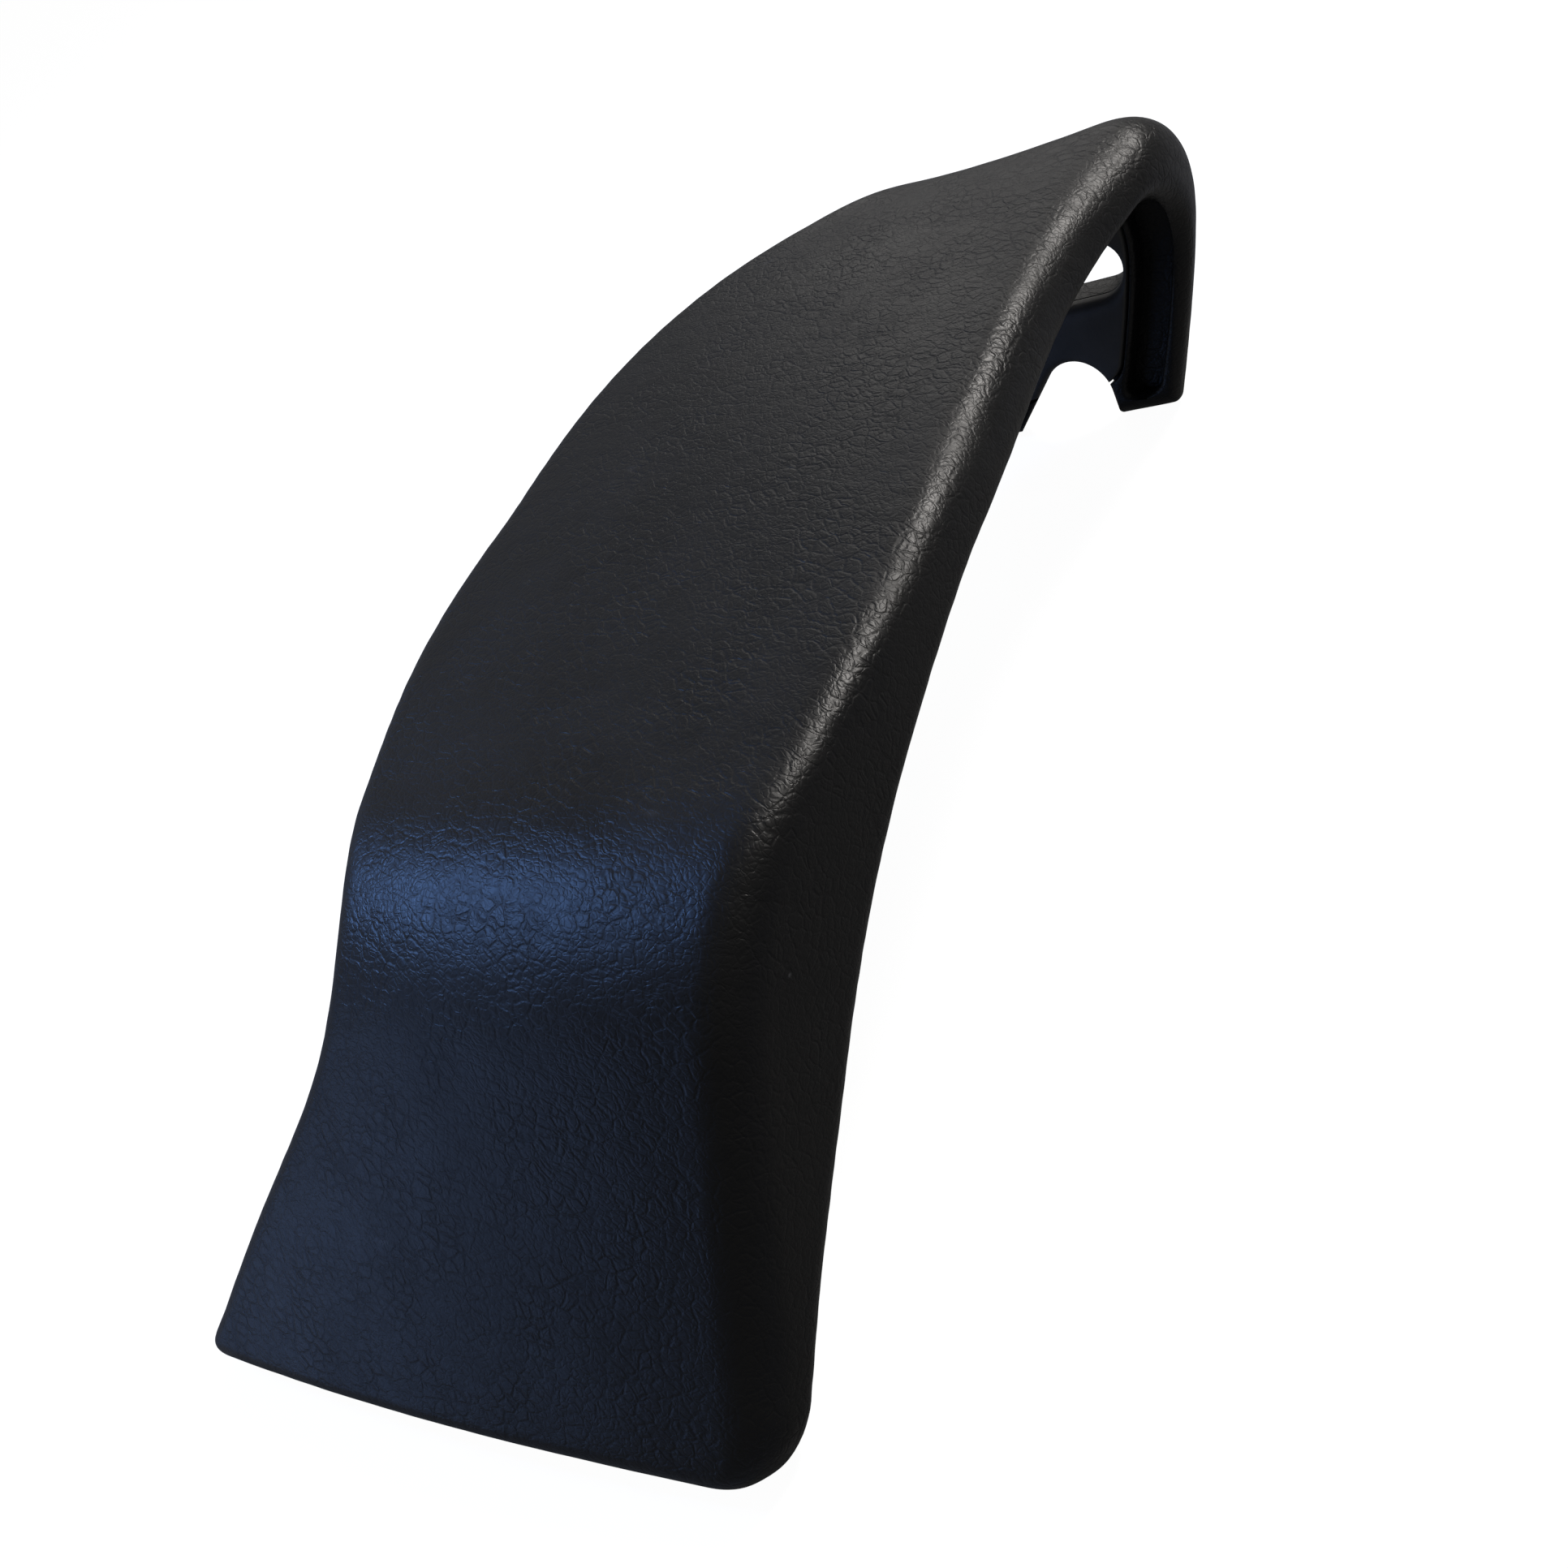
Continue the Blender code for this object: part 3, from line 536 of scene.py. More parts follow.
def hide_grain_group():
    """Leather grain pressed into a moulded surface: flat-topped cells a little longer across the
    pad than along it, parted by thin creases of uneven depth, with pores on top."""
    tree, given, result = new_group(
        "hide_grain", {"Cell Size": 0.0019, "Stretch": 1.7, "Warp": 0.0020}, ["Height", "Crease"])
    place = set_node(tree, "ShaderNodeTexCoord").outputs["Object"]
    warp = noise(tree, place, WARP_SCALE, output="Color")
    centred = vector_maths(tree, "SUBTRACT", warp, (0.5, 0.5, 0.5))
    push = set_node(tree, "ShaderNodeVectorMath", {0: centred, "Scale": given.outputs["Warp"]},
                    operation="SCALE").outputs[0]
    warped = vector_maths(tree, "ADD", place, push)
    turned = set_node(tree, "ShaderNodeVectorRotate", {"Vector": warped, "Angle": GRAIN_TURN},
                      rotation_type="Z_AXIS").outputs[0]
    per_cell = maths(tree, "DIVIDE", 1.0, given.outputs["Cell Size"])
    narrow = maths(tree, "DIVIDE", per_cell, given.outputs["Stretch"])
    scale = set_node(tree, "ShaderNodeCombineXYZ", {"X": narrow, "Y": per_cell, "Z": per_cell})
    cells_at = vector_maths(tree, "MULTIPLY", turned, scale.outputs[0])
    plateau = ranged(tree, cell_edges(tree, cells_at, 1.0), 0.0, CREASE_WIDTH)
    fine_plateau = ranged(tree, cell_edges(tree, cells_at, FINE_CELLS), 0.0, FINE_CREASE_WIDTH)
    deep = ranged(tree, noise(tree, place, CREASE_PATCHES), 0.35, 0.65, 0.35, 1.0)
    crease = maths(tree, "MULTIPLY", maths(tree, "SUBTRACT", 1.0, plateau), deep)
    fine_crease = maths(tree, "SUBTRACT", 1.0, fine_plateau)
    fine_crease = maths(tree, "MULTIPLY", fine_crease, FINE_CREASE_DEPTH)
    pores = maths(tree, "MULTIPLY", noise(tree, place, PORE_SCALE, detail=1.0), PORE_DEPTH)
    height = maths(tree, "SUBTRACT", pores, maths(tree, "ADD", crease, fine_crease))
    tree.links.new(height, result.inputs["Height"])
    tree.links.new(crease, result.inputs["Crease"])
    return tree


RUBBED_RANGE = (0.38, 0.64)
SMEAR_SCALE = 34.0
SMEAR_RANGE = (0.66, 0.74)
STREAK_SCALE = (130.0, 420.0, 420.0)
STREAK_RANGE = (0.45, 0.70)
DUST_SCALE = 210.0
DUST_CHANCE = (0.965, 0.975)
DUST_SIZE = (0.055, 0.030)


def use_and_dust_group():
    """What handling leaves on any of the surfaces: broad rubbed and dull patches, a few small
    smears where something pale brushed past, and specks of dust."""
    tree, given, result = new_group(
        "use_and_dust", {"Patch Size": 0.03, "Smears": 1.0}, ["Rubbed", "Smear", "Specks"])
    place = set_node(tree, "ShaderNodeTexCoord").outputs["Object"]
    per_patch = maths(tree, "DIVIDE", 1.0, given.outputs["Patch Size"])
    rubbed = ranged(tree, noise(tree, place, per_patch, 4.0, 0.6), *RUBBED_RANGE)
    where = ranged(tree, noise(tree, place, SMEAR_SCALE, 3.0, 0.65), *SMEAR_RANGE)
    streak_at = vector_maths(tree, "MULTIPLY", place, STREAK_SCALE)
    streaks = ranged(tree, noise(tree, streak_at, 1.0, 3.0), *STREAK_RANGE)
    smear = maths(tree, "MULTIPLY", where, streaks)
    smear = maths(tree, "MULTIPLY", smear, given.outputs["Smears"])
    dots = set_node(tree, "ShaderNodeTexVoronoi", {"Vector": place, "Scale": DUST_SCALE},
                    feature="F1").outputs
    rare = ranged(tree, dots["Color"], *DUST_CHANCE)
    dot = maths(tree, "MULTIPLY", ranged(tree, dots["Distance"], *DUST_SIZE), rare)
    tree.links.new(rubbed, result.inputs["Rubbed"])
    tree.links.new(smear, result.inputs["Smear"])
    tree.links.new(dot, result.inputs["Specks"])
    return tree


hide_grain = hide_grain_group()
use_and_dust = use_and_dust_group()

SKIN_BLACK = (0.0070, 0.0071, 0.0076)
SKIN_RUBBED = (0.0092, 0.0091, 0.0093)
# painted shade: the darker colour laid into the grain's creases
SKIN_CREASE_SHADE = (0.0060, 0.0060, 0.0065)
SMEAR_GREY = (0.070, 0.072, 0.078)
DUST_GREY = (0.30, 0.30, 0.29)
SKIN_ROUGHNESS = 0.36
SKIN_GLOSS_LEVEL = 0.28
SKIN_GRAIN_DEPTH = 0.00006
CREASE_SHADE_SHOWS = 0.35
SMEAR_SHOWS = 0.5
RUBBED_DULLER = 0.07
CREASE_DULLER = 0.06
SCUFF_GRAIN = 1800.0
SCUFFS = [
    ((-0.0071, -0.1057, 0.0277), (0.0034, 0.0010, 0.0010), 0.55),
    ((-0.0170, -0.1124, 0.0205), (0.0016, 0.0006, 0.0006), 0.70),
    ((0.0657, -0.0674, 0.0463), (0.0008, 0.0006, 0.0004), 1.00),
]


def new_finish(name, patch_size, smears):
    """A material, its tree, the inputs of its shader, the place on the object, and the marks of
    use on it."""
    made = bpy.data.materials.new(name)
    made.use_nodes = True
    tree = made.node_tree
    place = set_node(tree, "ShaderNodeTexCoord").outputs["Object"]
    used = set_node(tree, "ShaderNodeGroup", {"Patch Size": patch_size, "Smears": smears},
                    node_tree=use_and_dust)
    return made, tree, tree.nodes["Principled BSDF"].inputs, place, used.outputs


def press_in(tree, finish, height, strength, depth, invert=False):
    """Relief from a height that is 1 at its full depth, fed to the normal."""
    bump = set_node(tree, "ShaderNodeBump", {
        "Height": height, "Strength": strength, "Distance": depth}, invert=invert)
    tree.links.new(bump.outputs["Normal"], finish["Normal"])


def scuff_mask(tree, place, centre, reach, strength):
    """One pale scuff: full at its centre, gone at its reach, and broken up by fine noise."""
    from_centre = vector_maths(tree, "SUBTRACT", place, centre)
    scaled = vector_maths(tree, "DIVIDE", from_centre, reach)
    far = set_node(tree, "ShaderNodeVectorMath", {0: scaled}, operation="LENGTH").outputs["Value"]
    broken = ranged(tree, noise(tree, place, SCUFF_GRAIN), 0.35, 0.60)
    shape = maths(tree, "MULTIPLY", ranged(tree, far, 1.0, 0.3), broken)
    return maths(tree, "MULTIPLY", shape, strength)


def skin_material():
    """Satin black skin: painted shade darkens the grain's creases; greyer and duller where it has
    been rubbed.
    """
    made, tree, finish, place, used = new_finish("satin_black_skin", 0.03, 1.0)
    grain = set_node(tree, "ShaderNodeGroup", node_tree=hide_grain).outputs
    colour = blend(tree, used["Rubbed"], SKIN_BLACK, SKIN_RUBBED)
    # painted shade in the grain's creases, a share of the crease mask
    crease_shade = maths(tree, "MULTIPLY", grain["Crease"], CREASE_SHADE_SHOWS)
    colour = blend(tree, crease_shade, colour, SKIN_CREASE_SHADE)
    smeared = maths(tree, "MULTIPLY", used["Smear"], SMEAR_SHOWS)
    colour = blend(tree, smeared, colour, SMEAR_GREY)
    colour = blend(tree, used["Specks"], colour, DUST_GREY)
    for centre, reach, strength in SCUFFS:
        colour = blend(tree, scuff_mask(tree, place, centre, reach, strength), colour, SMEAR_GREY)
    tree.links.new(colour, finish["Base Color"])
    dull = maths(tree, "MULTIPLY", used["Rubbed"], RUBBED_DULLER)
    dull = maths(tree, "ADD", dull, maths(tree, "MULTIPLY", grain["Crease"], CREASE_DULLER))
    tree.links.new(maths(tree, "ADD", dull, SKIN_ROUGHNESS), finish["Roughness"])
    finish["Specular IOR Level"].default_value = SKIN_GLOSS_LEVEL
    press_in(tree, finish, grain["Height"], 1.0, SKIN_GRAIN_DEPTH)
    return made


def shade(piece, crease=38):
    """Smooth shading, with a hard edge where faces meet at more than the crease angle."""
    piece.data.shade_smooth()
    piece.data.set_sharp_from_angle(angle=math.radians(crease))


def cover(piece, material):
    """Gives a piece one material."""
    piece.data.materials.clear()
    piece.data.materials.append(material)


# The grid's own box is laid on the box of the CAD skin, which fixes where the origin is.
outer_grid = pad_surface(0.0, 0.0, STATION_STEP, 3)
skin_low, skin_high = (np.array(corner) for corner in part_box("outer_skin"))
ORIGIN = (outer_grid.min(axis=(0, 1)) + outer_grid.max(axis=(0, 1)) - skin_low - skin_high) / 2
ORIGIN[2] = outer_grid[..., 2].min() - skin_low[2]


def plate(name, left, right, start, end, profile, corner, step=0.003, flat_base=None):
    """Plate along the underside. The profile is (grow, height) pairs up its edge: at each height
    the whole outline, with its rounded corners, stands that much further out on every side. With
    a flat base, all its heights but the last are measured up from that level."""
    grow, height = np.array(profile).T
    share = stations(0, 1, corner / (end - start), step / (end - start), 9)[:, None]
    first, last = start - grow, end + grow
    along = first + (last - first) * share
    pull = corner_cut(np.minimum(along - first, last - along), corner + grow)
    low_side = left(along) - grow + pull
    high_side = right(along) + grow - pull
    side = from_under(along, height[None, :] + 0 * along)
    if flat_base is not None:
        side[:, :-1, 0] = from_under(along, 0 * along)[:, :-1, 0]
        side[:, :-1, 1] = flat_base + height[:-1]
    up_one, down_other = np.dstack([low_side, side]), np.dstack([high_side, side])[:, ::-1]
    return grid_object(name, np.concatenate([up_one, down_other], axis=1) - ORIGIN)


def quarter_round(radius):
    """(grow, height) pairs of a quarter circle that flares out to a face at height 0."""
    turn = np.linspace(0, math.pi / 2, 5)
    flare = radius * (1 - np.cos(turn))
    rise = radius * (1 - np.sin(turn))
    return [(radius, -OVERLAP)] + list(zip(flare, rise))[::-1]


def outer_face_y(x, z):
    """Depth in y of the leg's rear face at a place (x, z), its hollow crown included."""
    line, travelled, arcs = TOP_LINE
    down = travelled > (arcs[2] + arcs[3]) / 2
    sink = np.zeros(np.shape(z))
    for _ in range(3):
        along = np.interp(-(z - sink * math.sin(LEG_RAKE)), -line[down][:, 1], travelled[down])
        left, right = left_x(along), right_x(along)
        across = np.clip((x - (left + right) / 2) / ((right - left) / 2), -1, 1)
        sink = -eased(CROWN, along / TOP_LENGTH) * (1 - across**2)
    return on_path(TOP_LINE, along)[..., 0] - sink * math.cos(LEG_RAKE)


def under_face_y(z):
    """Depth in y of the leg's front face at a height."""
    line, travelled, arcs = UNDER_LINE
    down = travelled >= arcs[2] + 0.2 * (arcs[3] - arcs[2])
    return np.interp(-z, -line[down][:, 1], line[down][:, 0])


def through_leg(name, outline, flare):
    """Cutter that runs along Y through the leg. The outline is a function of how far it stands
    out, and it flares with a quarter round at the leg's rear face and at its front face."""
    turn = np.linspace(0, math.pi / 2, 7)
    out = flare * (1 - np.sin(turn))
    into = flare * (1 - np.cos(turn))
    rings = []
    for grow, depth in zip(out, into):
        x, z = outline(grow)
        rings.append(np.column_stack([x, outer_face_y(x, z) - depth, z]))
    x, z = outline(out[0])
    rear = [np.column_stack([x, 0 * x + rings[0][:, 1].max() + CUT_BEYOND, z]),
            rings[0] + [0, CUT_STEP, 0]]
    front = []
    for grow, depth in zip(out[::-1], into[::-1]):
        x, z = outline(grow)
        front.append(np.column_stack([x, under_face_y(z) + depth, z]))
    end = [front[-1] - [0, CUT_STEP, 0],
           np.column_stack([x, 0 * x + front[-1][:, 1].min() - CUT_BEYOND, z])]
    return grid_object(name, np.stack(rear + rings + front + end) - ORIGIN)


def slot_outline(grow):
    """Closed (x, z) outline of a slot with half-round ends."""
    radius = SLOT_HEIGHT / 2 + grow
    reach = SLOT_WIDTH / 2 + grow - radius
    turn = np.linspace(-math.pi / 2, math.pi / 2, 25)
    half = reach + radius * np.cos(turn)
    x = SLOT_CENTRE_X + np.concatenate([half, -half])
    z = leg_base + SLOT_RISE + radius * np.concatenate([np.sin(turn), -np.sin(turn)])
    return x, z


def arch_outline(grow):
    """Closed (x, z) outline of the arch between the feet: an upright right side, an arc, and a
    left side that touches the arc and splays out from it to the ground."""
    radius = ARCH_WIDTH / 2 + grow
    spring = leg_base + ARCH_HEIGHT + grow - radius
    below = leg_base - BELOW_FOOT
    turn = np.linspace(0, math.pi - ARCH_SPLAY, 41)
    arc_x, arc_z = ARCH_CENTRE_X + radius * np.cos(turn), spring + radius * np.sin(turn)
    upright = np.linspace(below, spring, 10)[:-1]
    splayed = np.linspace(arc_z[-1], below, 12)[1:]
    splayed_x = arc_x[-1] - (arc_z[-1] - splayed) * math.tan(ARCH_SPLAY)
    x = np.concatenate([0 * upright + arc_x[0], arc_x, splayed_x])
    z = np.concatenate([upright, arc_z, splayed])
    return x, z


def lining(outline, wall):
    """The outline with a wall round it."""
    return lambda grow: outline(grow + wall)


def window_left(along):
    return left_x(along) + LIP_LEFT


def window_right(along):
    return right_x(along) - LIP_RIGHT


def hollow_left(along):
    return right_x(along) - HOLLOW_RIM - HOLLOW_WIDTH


def hollow_right(along):
    return right_x(along) - HOLLOW_RIM


hollow_start = TOP_LINE[2][2] + HOLLOW_PAST_BEND_START


def solid_rim(name, wall):
    """Block round the hollow, over its rim and down to the foot, where the skin is solid."""
    return plate(
        name, lambda along: hollow_left(along) - wall, lambda along: right_x(along) + OVERLAP,
        hollow_start - wall, TOP_LENGTH, [(0, -OVERLAP), (0, HOLLOW_DEPTH + wall)], SHARP_CORNER)


relief = shallow_wrinkles(outer_grid)[..., None]
normals = grid_normals(outer_grid)
outward = np.sign(np.sum(normals * (outer_grid - outer_grid.mean(axis=1, keepdims=True))))
skin = grid_object("pad_skin", outer_grid + outward * GRAIN_RELIEF * relief * normals - ORIGIN)
cavity = grid_object("cavity", pad_surface(SKIN_WALL, CARRIER_WALL, INNER_STEP, 1) - ORIGIN)
carve(cavity, [
    through_leg("slot_lining", lining(slot_outline, SKIN_WALL), OPENING_ROUND),
    through_leg("arch_lining", lining(arch_outline, SKIN_WALL), OPENING_ROUND),
    solid_rim("rim_lining", SKIN_WALL),
])
hollow = plate(
    "hollow", hollow_left, hollow_right, hollow_start, TOP_LENGTH - HOLLOW_TO_FOOT,
    quarter_round(HOLLOW_ROUND) + [(0, HOLLOW_DEPTH)], HOLLOW_CORNER)
window = plate(
    "window", window_left, window_right, LIP_END, TOP_LENGTH - LIP_END,
    quarter_round(EDGE_ROUND) + [(0, CARRIER_WALL + GAP)], WINDOW_CORNER)
carve(skin, [
    cavity, window, hollow,
    through_leg("slot_cut", slot_outline, OPENING_ROUND),
    through_leg("arch_cut", arch_outline, OPENING_ROUND),
])
shade(skin)
cover(skin, skin_material())
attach(skin, "root")
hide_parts("outer_skin")

# ---- foam core -----------------------------------------------------------------------------
# Flexible polyurethane foam that fills the skin in the same mould. It is bonded to the skin, and
# it is moulded round the strap, the rivet heads and the bosses of the carrier.
STRAP_WIDTH = 0.0240
STRAP_THICKNESS = 0.0015
RIVET_HEAD_RADIUS = 0.0036
RIVET_HEAD = 0.0011
INSERT_RADIUS = 0.0040
BOSS_WALL = 0.0022
BOSS_CAP = 0.0010
INSERT_RECESS = 0.0004
FOAM_COLOUR = (0.030, 0.030, 0.032)
# painted shade: the darker colour laid into each pore of the foam
FOAM_PORE_SHADE = (0.011, 0.011, 0.012)
FOAM_RUBBED = (0.045, 0.044, 0.043)
FOAM_CELL = 0.00085
FOAM_ROUGHNESS = 0.95
FOAM_GLOSS_LEVEL = 0.15
FOAM_PORE_DEPTH = 0.0003

ROWS = ("front", "rear")
SIDES = ("left", "right")
insert_boxes = {(row, side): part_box(f"insert_{row}_{side}") for row in ROWS for side in SIDES}
rivet_boxes = [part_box(f"strap_rivet_{number}") for number in range(1, 6)]
seat_level = insert_boxes["front", "left"][0][2] - INSERT_RECESS
insert_length = insert_boxes["front", "left"][1][2] - insert_boxes["front", "left"][0][2]
hole_depth = INSERT_RECESS + insert_length + GAP
boss_radius = INSERT_RADIUS + GAP + BOSS_WALL
boss_height = hole_depth + BOSS_CAP
strap_top = CARRIER_WALL + GAP + STRAP_THICKNESS


def centre_of(box):
    low, high = (np.array(corner) for corner in box)
    return (low + high) / 2


def seat_under(box):
    """Point on the seat plane below the middle of an insert."""
    x, y, _ = centre_of(box)
    return np.array([x, y, seat_level])


def along_at(y):
    """Distance along the top whose underside point has this y, on the run."""
    places = np.linspace(TOP_LINE[2][0], TOP_LINE[2][2], 400)
    return np.interp(y, from_under(places, 0 * places)[:, 0], places)


def up_from_underside(y):
    """Unit (y, z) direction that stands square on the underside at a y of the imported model."""
    return -inward(UNDER_LINE, under_distance(along_at(y + ORIGIN[1])))


def turned_body(name, profile, place, up=(0.0, 1.0), sides=48):
    """Body turned about an axis in the YZ plane: each (radius, height) pair becomes a circle of
    that radius round the axis, that far up it from the place."""
    radius, height = np.array(profile).T[..., None]
    angle = np.linspace(0, 2 * math.pi, sides, endpoint=False)
    x, y = radius * np.cos(angle), radius * np.sin(angle)
    z = height + 0 * angle
    lean_y, lean_z = up
    points = np.dstack([x, y * lean_z + z * lean_y, z * lean_z - y * lean_y])
    return grid_object(name, points + place)


def rivet_foot(box):
    """Point on the underside at a rivet's axis, and the direction of that axis."""
    x, y, z = centre_of(box)
    up = up_from_underside(y)
    half_way = strap_top / 2
    return np.array([x, y - half_way * up[0], z - half_way * up[1]]), up


def foam_material():
    """Charcoal foam: round open cells under a thin broken skin, with painted shade a little darker
    in each pore.
    """
    made, tree, finish, place, used = new_finish("open_cell_foam", 0.02, 0.0)
    cells = set_node(tree, "ShaderNodeTexVoronoi", {"Vector": place, "Scale": 1 / FOAM_CELL})
    pore = ranged(tree, cells.outputs["Distance"], 0.42, 0.12)
    # painted shade darkens each pore
    colour = blend(tree, pore, FOAM_COLOUR, FOAM_PORE_SHADE)
    rubbed = maths(tree, "MULTIPLY", used["Rubbed"], 0.25)
    tree.links.new(blend(tree, rubbed, colour, FOAM_RUBBED), finish["Base Color"])
    finish["Roughness"].default_value = FOAM_ROUGHNESS
    finish["Specular IOR Level"].default_value = FOAM_GLOSS_LEVEL
    press_in(tree, finish, pore, 0.8, FOAM_PORE_DEPTH, invert=True)
    return made


foam_wall = SKIN_WALL + GAP
foam = grid_object("pad_foam", pad_surface(foam_wall, CARRIER_WALL + GAP, INNER_STEP, 1) - ORIGIN)


strap_middle = centre_of(rivet_boxes[0])[0] + ORIGIN[0]


def strap_left(along):
    return 0 * along + strap_middle - STRAP_WIDTH / 2 - GAP


def strap_right(along):
    return 0 * along + strap_middle + STRAP_WIDTH / 2 + GAP


strap_low, strap_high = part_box("spine_strap")
foam_cutters = [
    through_leg("slot_in_foam", lining(slot_outline, foam_wall), OPENING_ROUND),
    through_leg("arch_in_foam", lining(arch_outline, foam_wall), OPENING_ROUND),
    solid_rim("rim_in_foam", foam_wall),
    plate("strap_channel", strap_left, strap_right,
          along_at(strap_low[1] + ORIGIN[1]) - GAP, along_at(strap_high[1] + ORIGIN[1]) + GAP,
          [(0, CARRIER_WALL - OVERLAP), (0, strap_top + GAP)], SHARP_CORNER),
]
pocket_radius, pocket_top = RIVET_HEAD_RADIUS + GAP, strap_top + 3 * GAP + RIVET_HEAD
for number, box in enumerate(rivet_boxes, 1):
    foot, up = rivet_foot(box)
    foam_cutters.append(turned_body(
        f"rivet_pocket_{number}", [(pocket_radius, 0.0), (pocket_radius, pocket_top)], foot, up))
for (row, side), box in insert_boxes.items():
    foam_cutters.append(turned_body(
        f"boss_pocket_{row}_{side}",
        [(boss_radius + GAP, 0.0), (boss_radius + GAP, boss_height + GAP)], seat_under(box)))
carve(foam, foam_cutters)
shade(foam)
cover(foam, foam_material())
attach(foam, "root")
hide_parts("foam_core")

# ---- carrier ------------------------------------------------------------------------------------
# Glass-filled nylon plate that the pad is moulded on. It is injection moulded in one, with a
# rounded outer edge, two seats for the chair's arm plate and four bosses for the inserts.
CARRIER_EDGE = 0.0007
SEAT_LENGTH = 0.0160
SEAT_MARGIN = 0.0020
SEAT_CORNER = 0.0030
SEAT_EDGE = 0.0006
BOSS_CHAMFER = 0.0006
BORE_CHAMFER = 0.0004
RIVET_RADIUS = 0.0020
RIVET_HOLE_REACH = (-0.005, 0.010)
NYLON_GREY = (0.066, 0.066, 0.066)
NYLON_PALE = (0.090, 0.089, 0.088)
NYLON_SMEAR = (0.12, 0.12, 0.12)
NYLON_GRAIN = 0.00038
NYLON_ROUGHNESS = 0.50
NYLON_GLOSS_LEVEL = 0.40
NYLON_GRAIN_DEPTH = 0.00004


def nylon_material():
    """Dark grey nylon with the fine eroded texture of its mould, paler where it was handled."""
    made, tree, finish, place, used = new_finish("textured_nylon", 0.024, 0.6)
    colour = blend(tree, used["Rubbed"], NYLON_GREY, NYLON_PALE)
    colour = blend(tree, maths(tree, "MULTIPLY", used["Smear"], 0.4), colour, NYLON_SMEAR)
    colour = blend(tree, used["Specks"], colour, DUST_GREY)
    tree.links.new(colour, finish["Base Color"])
    grain = noise(tree, place, 1 / NYLON_GRAIN, roughness=0.7)
    rough = maths(tree, "MULTIPLY", used["Rubbed"], -0.08)
    rough = maths(tree, "ADD", rough, maths(tree, "MULTIPLY", grain, 0.10))
    tree.links.new(maths(tree, "ADD", rough, NYLON_ROUGHNESS), finish["Roughness"])
    finish["Specular IOR Level"].default_value = NYLON_GLOSS_LEVEL
    press_in(tree, finish, grain, 0.7, NYLON_GRAIN_DEPTH)
    return made


insert_columns = [centre_of(box)[0] for box in insert_boxes.values()]
seat_reach = np.ptp(insert_columns) / 2 + boss_radius + SEAT_MARGIN
seat_middle = np.mean(insert_columns) + ORIGIN[0]


def seat_left(along):
    return np.maximum(seat_middle - seat_reach, window_left(along) + PARTING + SEAT_MARGIN / 2)


def seat_right(along):
    return np.minimum(seat_middle + seat_reach, window_right(along) - PARTING - SEAT_MARGIN / 2)


def rounded_edge(radius):
    """(grow, height) pairs of an outer edge that turns in with a quarter circle at height 0."""
    turn = np.linspace(0, math.pi / 2, 5)
    return [(-g, h) for g, h in zip(radius * (1 - np.sin(turn)), radius * (1 - np.cos(turn)))]


carrier = plate(
    "carrier_plate", lambda along: window_left(along) + PARTING,
    lambda along: window_right(along) - PARTING, LIP_END + PARTING, TOP_LENGTH - LIP_END - PARTING,
    rounded_edge(CARRIER_EDGE) + [(0, CARRIER_WALL)], WINDOW_CORNER)
raised, bored = [], []
for row in ROWS:
    row_y = centre_of(insert_boxes[row, "left"])[1] + ORIGIN[1]
    raised.append(plate(
        f"seat_{row}", seat_left, seat_right, along_at(row_y - SEAT_LENGTH / 2),
        along_at(row_y + SEAT_LENGTH / 2), rounded_edge(SEAT_EDGE) + [(0, CARRIER_WALL / 2)],
        SEAT_CORNER, flat_base=seat_level + ORIGIN[2]))
bore_radius = INSERT_RADIUS + GAP
boss_outline = [(boss_radius, OVERLAP), (boss_radius, boss_height - BOSS_CHAMFER),
                (boss_radius - BOSS_CHAMFER, boss_height)]
bore_outline = [(bore_radius + BORE_CHAMFER, -OVERLAP), (bore_radius + BORE_CHAMFER, 0.0),
                (bore_radius, BORE_CHAMFER), (bore_radius, hole_depth)]
for (row, side), box in insert_boxes.items():
    raised.append(turned_body(f"boss_{row}_{side}", boss_outline, seat_under(box)))
    bored.append(turned_body(f"bore_{row}_{side}", bore_outline, seat_under(box)))
rivet_hole = [(RIVET_RADIUS + GAP, reach) for reach in RIVET_HOLE_REACH]
for number, box in enumerate(rivet_boxes, 1):
    foot, up = rivet_foot(box)
    bored.append(turned_body(f"rivet_hole_{number}", rivet_hole, foot, up))
carve(carrier, raised, "UNION")
carve(carrier, bored + [
    through_leg("slot_in_carrier", slot_outline, OPENING_ROUND),
    through_leg("arch_in_carrier", arch_outline, OPENING_ROUND),
])
shade(carrier, 30)
cover(carrier, nylon_material())
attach(carrier, "root")
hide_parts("carrier")

# ---- strap and rivets ---------------------------------------------------------------------------
# A zinc-plated steel strap that stiffens the carrier along its middle, held by five rivets with
# flat heads above the strap and domed tails below the carrier.
ZINC = (0.56, 0.56, 0.55)
ZINC_DULL = (0.38, 0.38, 0.37)
ZINC_ROUGHNESS = 0.26
ZINC_GRAIN = (5200.0, 160.0, 5200.0)
ZINC_GRAIN_DEPTH = 0.00002
RIVET_DOME = 0.0011
RIVET_CHAMFER = 0.0003
RIVET_FILLET = 0.0001
AXIS_RADIUS = 0.00005


